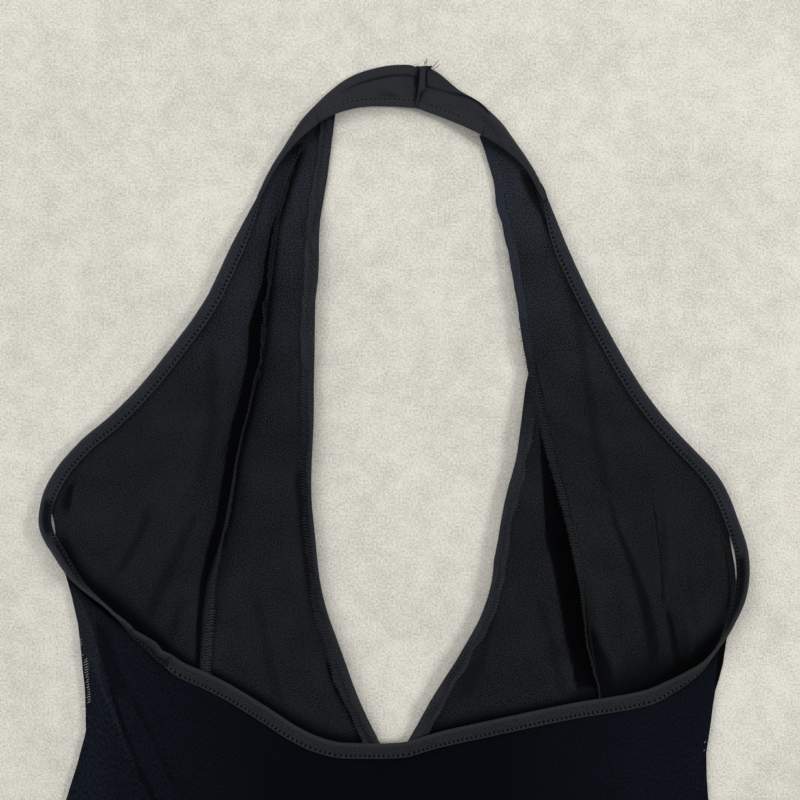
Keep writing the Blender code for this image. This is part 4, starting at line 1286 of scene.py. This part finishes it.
def sewn_row(name, rim, other, offset, faces=(1, -1)):
    """Straight stitches sunk along the stitch line of a strip, on its upper face, its lower face or both."""
    across, normal, gone, _ = frames(rim, other)
    starts = np.arange(0, gone[-1] - STITCH, STITCH)
    legs = ((0.1, 0.12), (0.25, 0.42), (0.5, 0.52), (0.75, 0.42), (0.9, 0.12))  # part of a stitch, and height
    paths = []
    for face in faces:
        path = np.empty((len(starts), len(legs), 3))
        for i, (forward, off) in enumerate(legs):
            where = starts + forward * STITCH
            on_rim, over, up = (places_at(line, gone, where) for line in (rim, across, normal))
            path[:, i] = on_rim + over * STITCH_LINE + up * (off * offset * face)
        paths.append(path)
    paths = np.concatenate(paths)
    return threads(name, paths, np.tile((0.31, 0.17, 0.93), (len(paths), 1)), 0.17, sewing_thread)


sewing_thread = thread_finish("black sewing thread", (0.012, 0.013, 0.015), (0.04, 0.041, 0.045), 0.55)

# Turning over at the left, it twists into a few lumps: across the garment, and how far its fold moves out
TWISTS = (
    (-170, -165, -159, -153, -147.5, -142, -136.5, -131, -126), (0, -0.5, 1.1, -1.2, 0.2, 1.1, -1.0, 0.4, 0),
)
TUCKS = ((-153.5, 1.3, 0.9), (-143.5, 1.0, 0.5), (-131.0, 0.8, 0.8))  # across, how wide and how dark their painted shade is

UNDERARM = 40  # up the garment, below which the strip has turned over
STRETCHES = (  # the solids that the strip follows, and their angles round the neck
    ("armhole_binding_left", 124.5, 214), ("back_binding", 205, 334), ("armhole_binding_right", 326, 414),
)

rim, inner = np.concatenate([ring_edges(*stretch) for stretch in STRETCHES], 1)
rim = evenly(longer(rim, 3, 3), BINDING_STEP)
inner = facing(rim, longer(inner, 3, 3))
rim, inner = stood(rim), stood(inner)
over = rim - inner
over /= np.linalg.norm(over, axis=1)[:, None]
twisted = np.interp(rim[:, 0], *TWISTS) * (rim[:, 1] < UNDERARM)
rim += over * twisted[:, None] + np.outer(0.5 * np.abs(twisted), (0, 0, 1))
inner += over * (0.5 * twisted)[:, None]
round_cloth = 1.3 * past(rim[:, 1], 84, 12) + 0.9 * past(rim[:, 1], -4, -12)
binding = strip(
    "edge_binding", rim, inner, BINDING_PROFILE, puckered(61), edge_cloth,
    [node for node, *_ in STRETCHES], drop=round_cloth,
)
binding_row = sewn_row("edge_binding_stitches", rim, inner, 1.0)

# Painted shade on the strip: its inner side where it stands on edge in the slit, its half turn and its tucks
INSIDES = (  # left or right, lowest and highest, part from which the painted shade begins
    (-1, 60.0, 88.0, 0.24), (-1, -14.0, 60.0, 0.42), (1, 4.0, 54.0, 0.22), (1, -14.0, 6.0, 0.5),
)
part = np.array(BINDING_PROFILE)[None, :, 0]
rim_x, rim_y = rim[:, :1], rim[:, 1:2]
inside = np.zeros((len(rim), part.size))
for which, low, high, start in INSIDES:
    near = past(rim_y, low, 5) * past(rim_y, high, -5) * (rim_x * which > 130)
    inside = np.maximum(inside, near * past(part, start, 0.1))
half_turned = np.interp(rim_x, (-176, -168, -158, -154, -134, -130), (0, 0.85, 0.85, 0.3, 0.3, 0))
inside = np.maximum(inside, half_turned * past(rim_y, 26, -10) * past(part, 0.3, 0.3))
for place, wide, tone in TUCKS:
    inside = np.maximum(inside, tone * mound(rim_x - place + 3 * part, wide) * (rim_y < UNDERARM))
tinted(binding, 0.93 * inside)

# ---- Binding along the strap ----
# The armhole's binding turns over with the cloth at each shoulder, and goes on along the strap's lower edge
# as a low band with the same row of stitches.

BAND_PROFILE = [(part, height * (0.62 if height > 0 else 0.5)) for part, height in BINDING_PROFILE]

strap_band_cloth = stitched(
    jersey("jersey of the strap's band", (0.0135, 0.0148, 0.0178), (0.028, 0.0303, 0.0355), 0.85, 0.1, 0.06),
    (0.003, 0.003, 0.0036), (0.028, 0.030, 0.036),
)


def strap_band(side, seed):
    """The bound lower edge of one strap half."""
    node = "strap_binding_" + side
    upper, lower = ring_edges(node, *STRAP_ARC[side], 0.5)
    lower = evenly(to_nape(lower), BINDING_STEP)
    upper = shared_out(evenly(to_nape(upper), 1.0), len(lower))
    lower[:, 2] += 0.62 * np.interp(lower[:, 0], *STRAP_RISE) + 0.4
    upper[:, 2] += 0.62 * np.interp(upper[:, 0], *STRAP_RISE) + 0.1
    piece = strip(
        "strap_band_" + side, lower, upper, BAND_PROFILE, puckered(seed), strap_band_cloth,
        [node],
    )
    return piece, sewn_row(node + "_stitches", lower, upper, 0.6, [1])


band_left = strap_band("left", 67)
band_right = strap_band("right", 71)

# ---- Leg openings ----
# The same bias binding finishes each leg edge, from the side seam down to the crotch. It is folded round the
# back's raw edge and sewn through with one row.


def leg_band(side, seed):
    """The bound edge of one leg opening."""
    node = "leg_binding_" + side
    rim, inner = level_edges(node, 1, -1.5, lambda a, b: abs(a[0] + 6) > abs(b[0] + 6))
    rim = evenly(rim, BINDING_STEP)
    inner = facing(rim, inner)
    piece = strip(
        "leg_band_" + side, rim, inner, BINDING_PROFILE, puckered(seed), binding_cloth,
        [node],
    )
    return piece, sewn_row("leg_band_stitches_" + side, rim, inner, 1.0)


leg_left = leg_band("left", 73)
leg_right = leg_band("right", 79)

# ---- Floor ----
# A pale felt cloth on a table, mottled where its fibres lie thinner. It is only the ground that the garment
# lies on, and wide enough for any view.

FLOOR_SIZE = 4.0

bpy.ops.object.select_all(action="DESELECT")
bpy.ops.mesh.primitive_plane_add(size=FLOOR_SIZE, location=(0, 0, 0))
floor = bpy.context.active_object
floor.name = "floor"

felt, tree, shader = new_finish("pale felt", (0.945, 0.915, 0.83), 0.95, 0.1)
where = add(tree, "TexCoord").outputs["Object"]
fibres = ramp(tree, noise(tree, where, 760.0, 4.0, 0.75), 0.25, 0.75)
clumps = ramp(tree, noise(tree, where, 85.0, 4.0, 0.6), 0.3, 0.7)
patches = ramp(tree, noise(tree, where, 14.0, 5.0, 0.62), 0.42, 0.62)
fluff = worked_out(tree, "MULTIPLY_ADD", fibres, 1.75, -0.50)
fluff = worked_out(tree, "MULTIPLY_ADD", clumps, 0.36, fluff)
tone = worked_out(tree, "MULTIPLY_ADD", patches, 0.25, fluff, use_clamp=True)
rough = add(tree, "Bump", ("Height", fluff), ("Strength", 0.6), ("Distance", 0.0006))
pale = blended(tree, tone, (0.60, 0.586, 0.53, 1), (0.945, 0.915, 0.83, 1))
tree.links.new(pale, shader.inputs["Base Color"])
tree.links.new(rough.outputs[0], shader.inputs["Normal"])
floor.data.materials.append(felt)

# ---- Light and camera ----
# Soft room light from all round, a broad window beyond the neck and a smaller one low on the right. The
# camera looks straight down on the upper half of the garment.

CAMERA_HEIGHT = 0.62
LENS = 46.5
FRAME_CENTER = (0.0039, 0.144)
WINDOWS = (  # name, place, size, power in watts
    ("window at the side", (1.7, 0.12, 1.12), (0.4, 0.55), 19.2),
    ("window beyond the neck", (-0.5, 2.1, 1.55), (2.4, 1.5), 27.2),
    ("window at the left", (-1.8, 0.16, 1.3), (1.8, 1.4), 16.2),
)

world = bpy.data.worlds.new("room")
bpy.context.scene.world = world
world.use_nodes = True
backdrop = world.node_tree.nodes["Background"]
backdrop.inputs["Color"].default_value = (0.95, 0.975, 1.0, 1)
backdrop.inputs["Strength"].default_value = 0.33

for name, location, size, power in WINDOWS:
    light = bpy.data.lights.new(name, "AREA")
    light.shape = "RECTANGLE"
    light.size, light.size_y = size
    light.energy = power
    light.color = (1.0, 0.985, 0.955)
    lamp = bpy.data.objects.new(name, light)
    lamp.location = location
    lamp.rotation_euler = (Vector((0.0, 0.1, 0.0)) - lamp.location).to_track_quat("-Z", "Y").to_euler()
    bpy.context.scene.collection.objects.link(lamp)

camera = bpy.data.objects.new("camera", bpy.data.cameras.new("camera"))
camera.data.lens = LENS
camera.data.sensor_width = 36
camera.location = (*FRAME_CENTER, CAMERA_HEIGHT)
bpy.context.scene.collection.objects.link(camera)
bpy.context.scene.camera = camera
bpy.context.scene.view_settings.view_transform = "Standard"
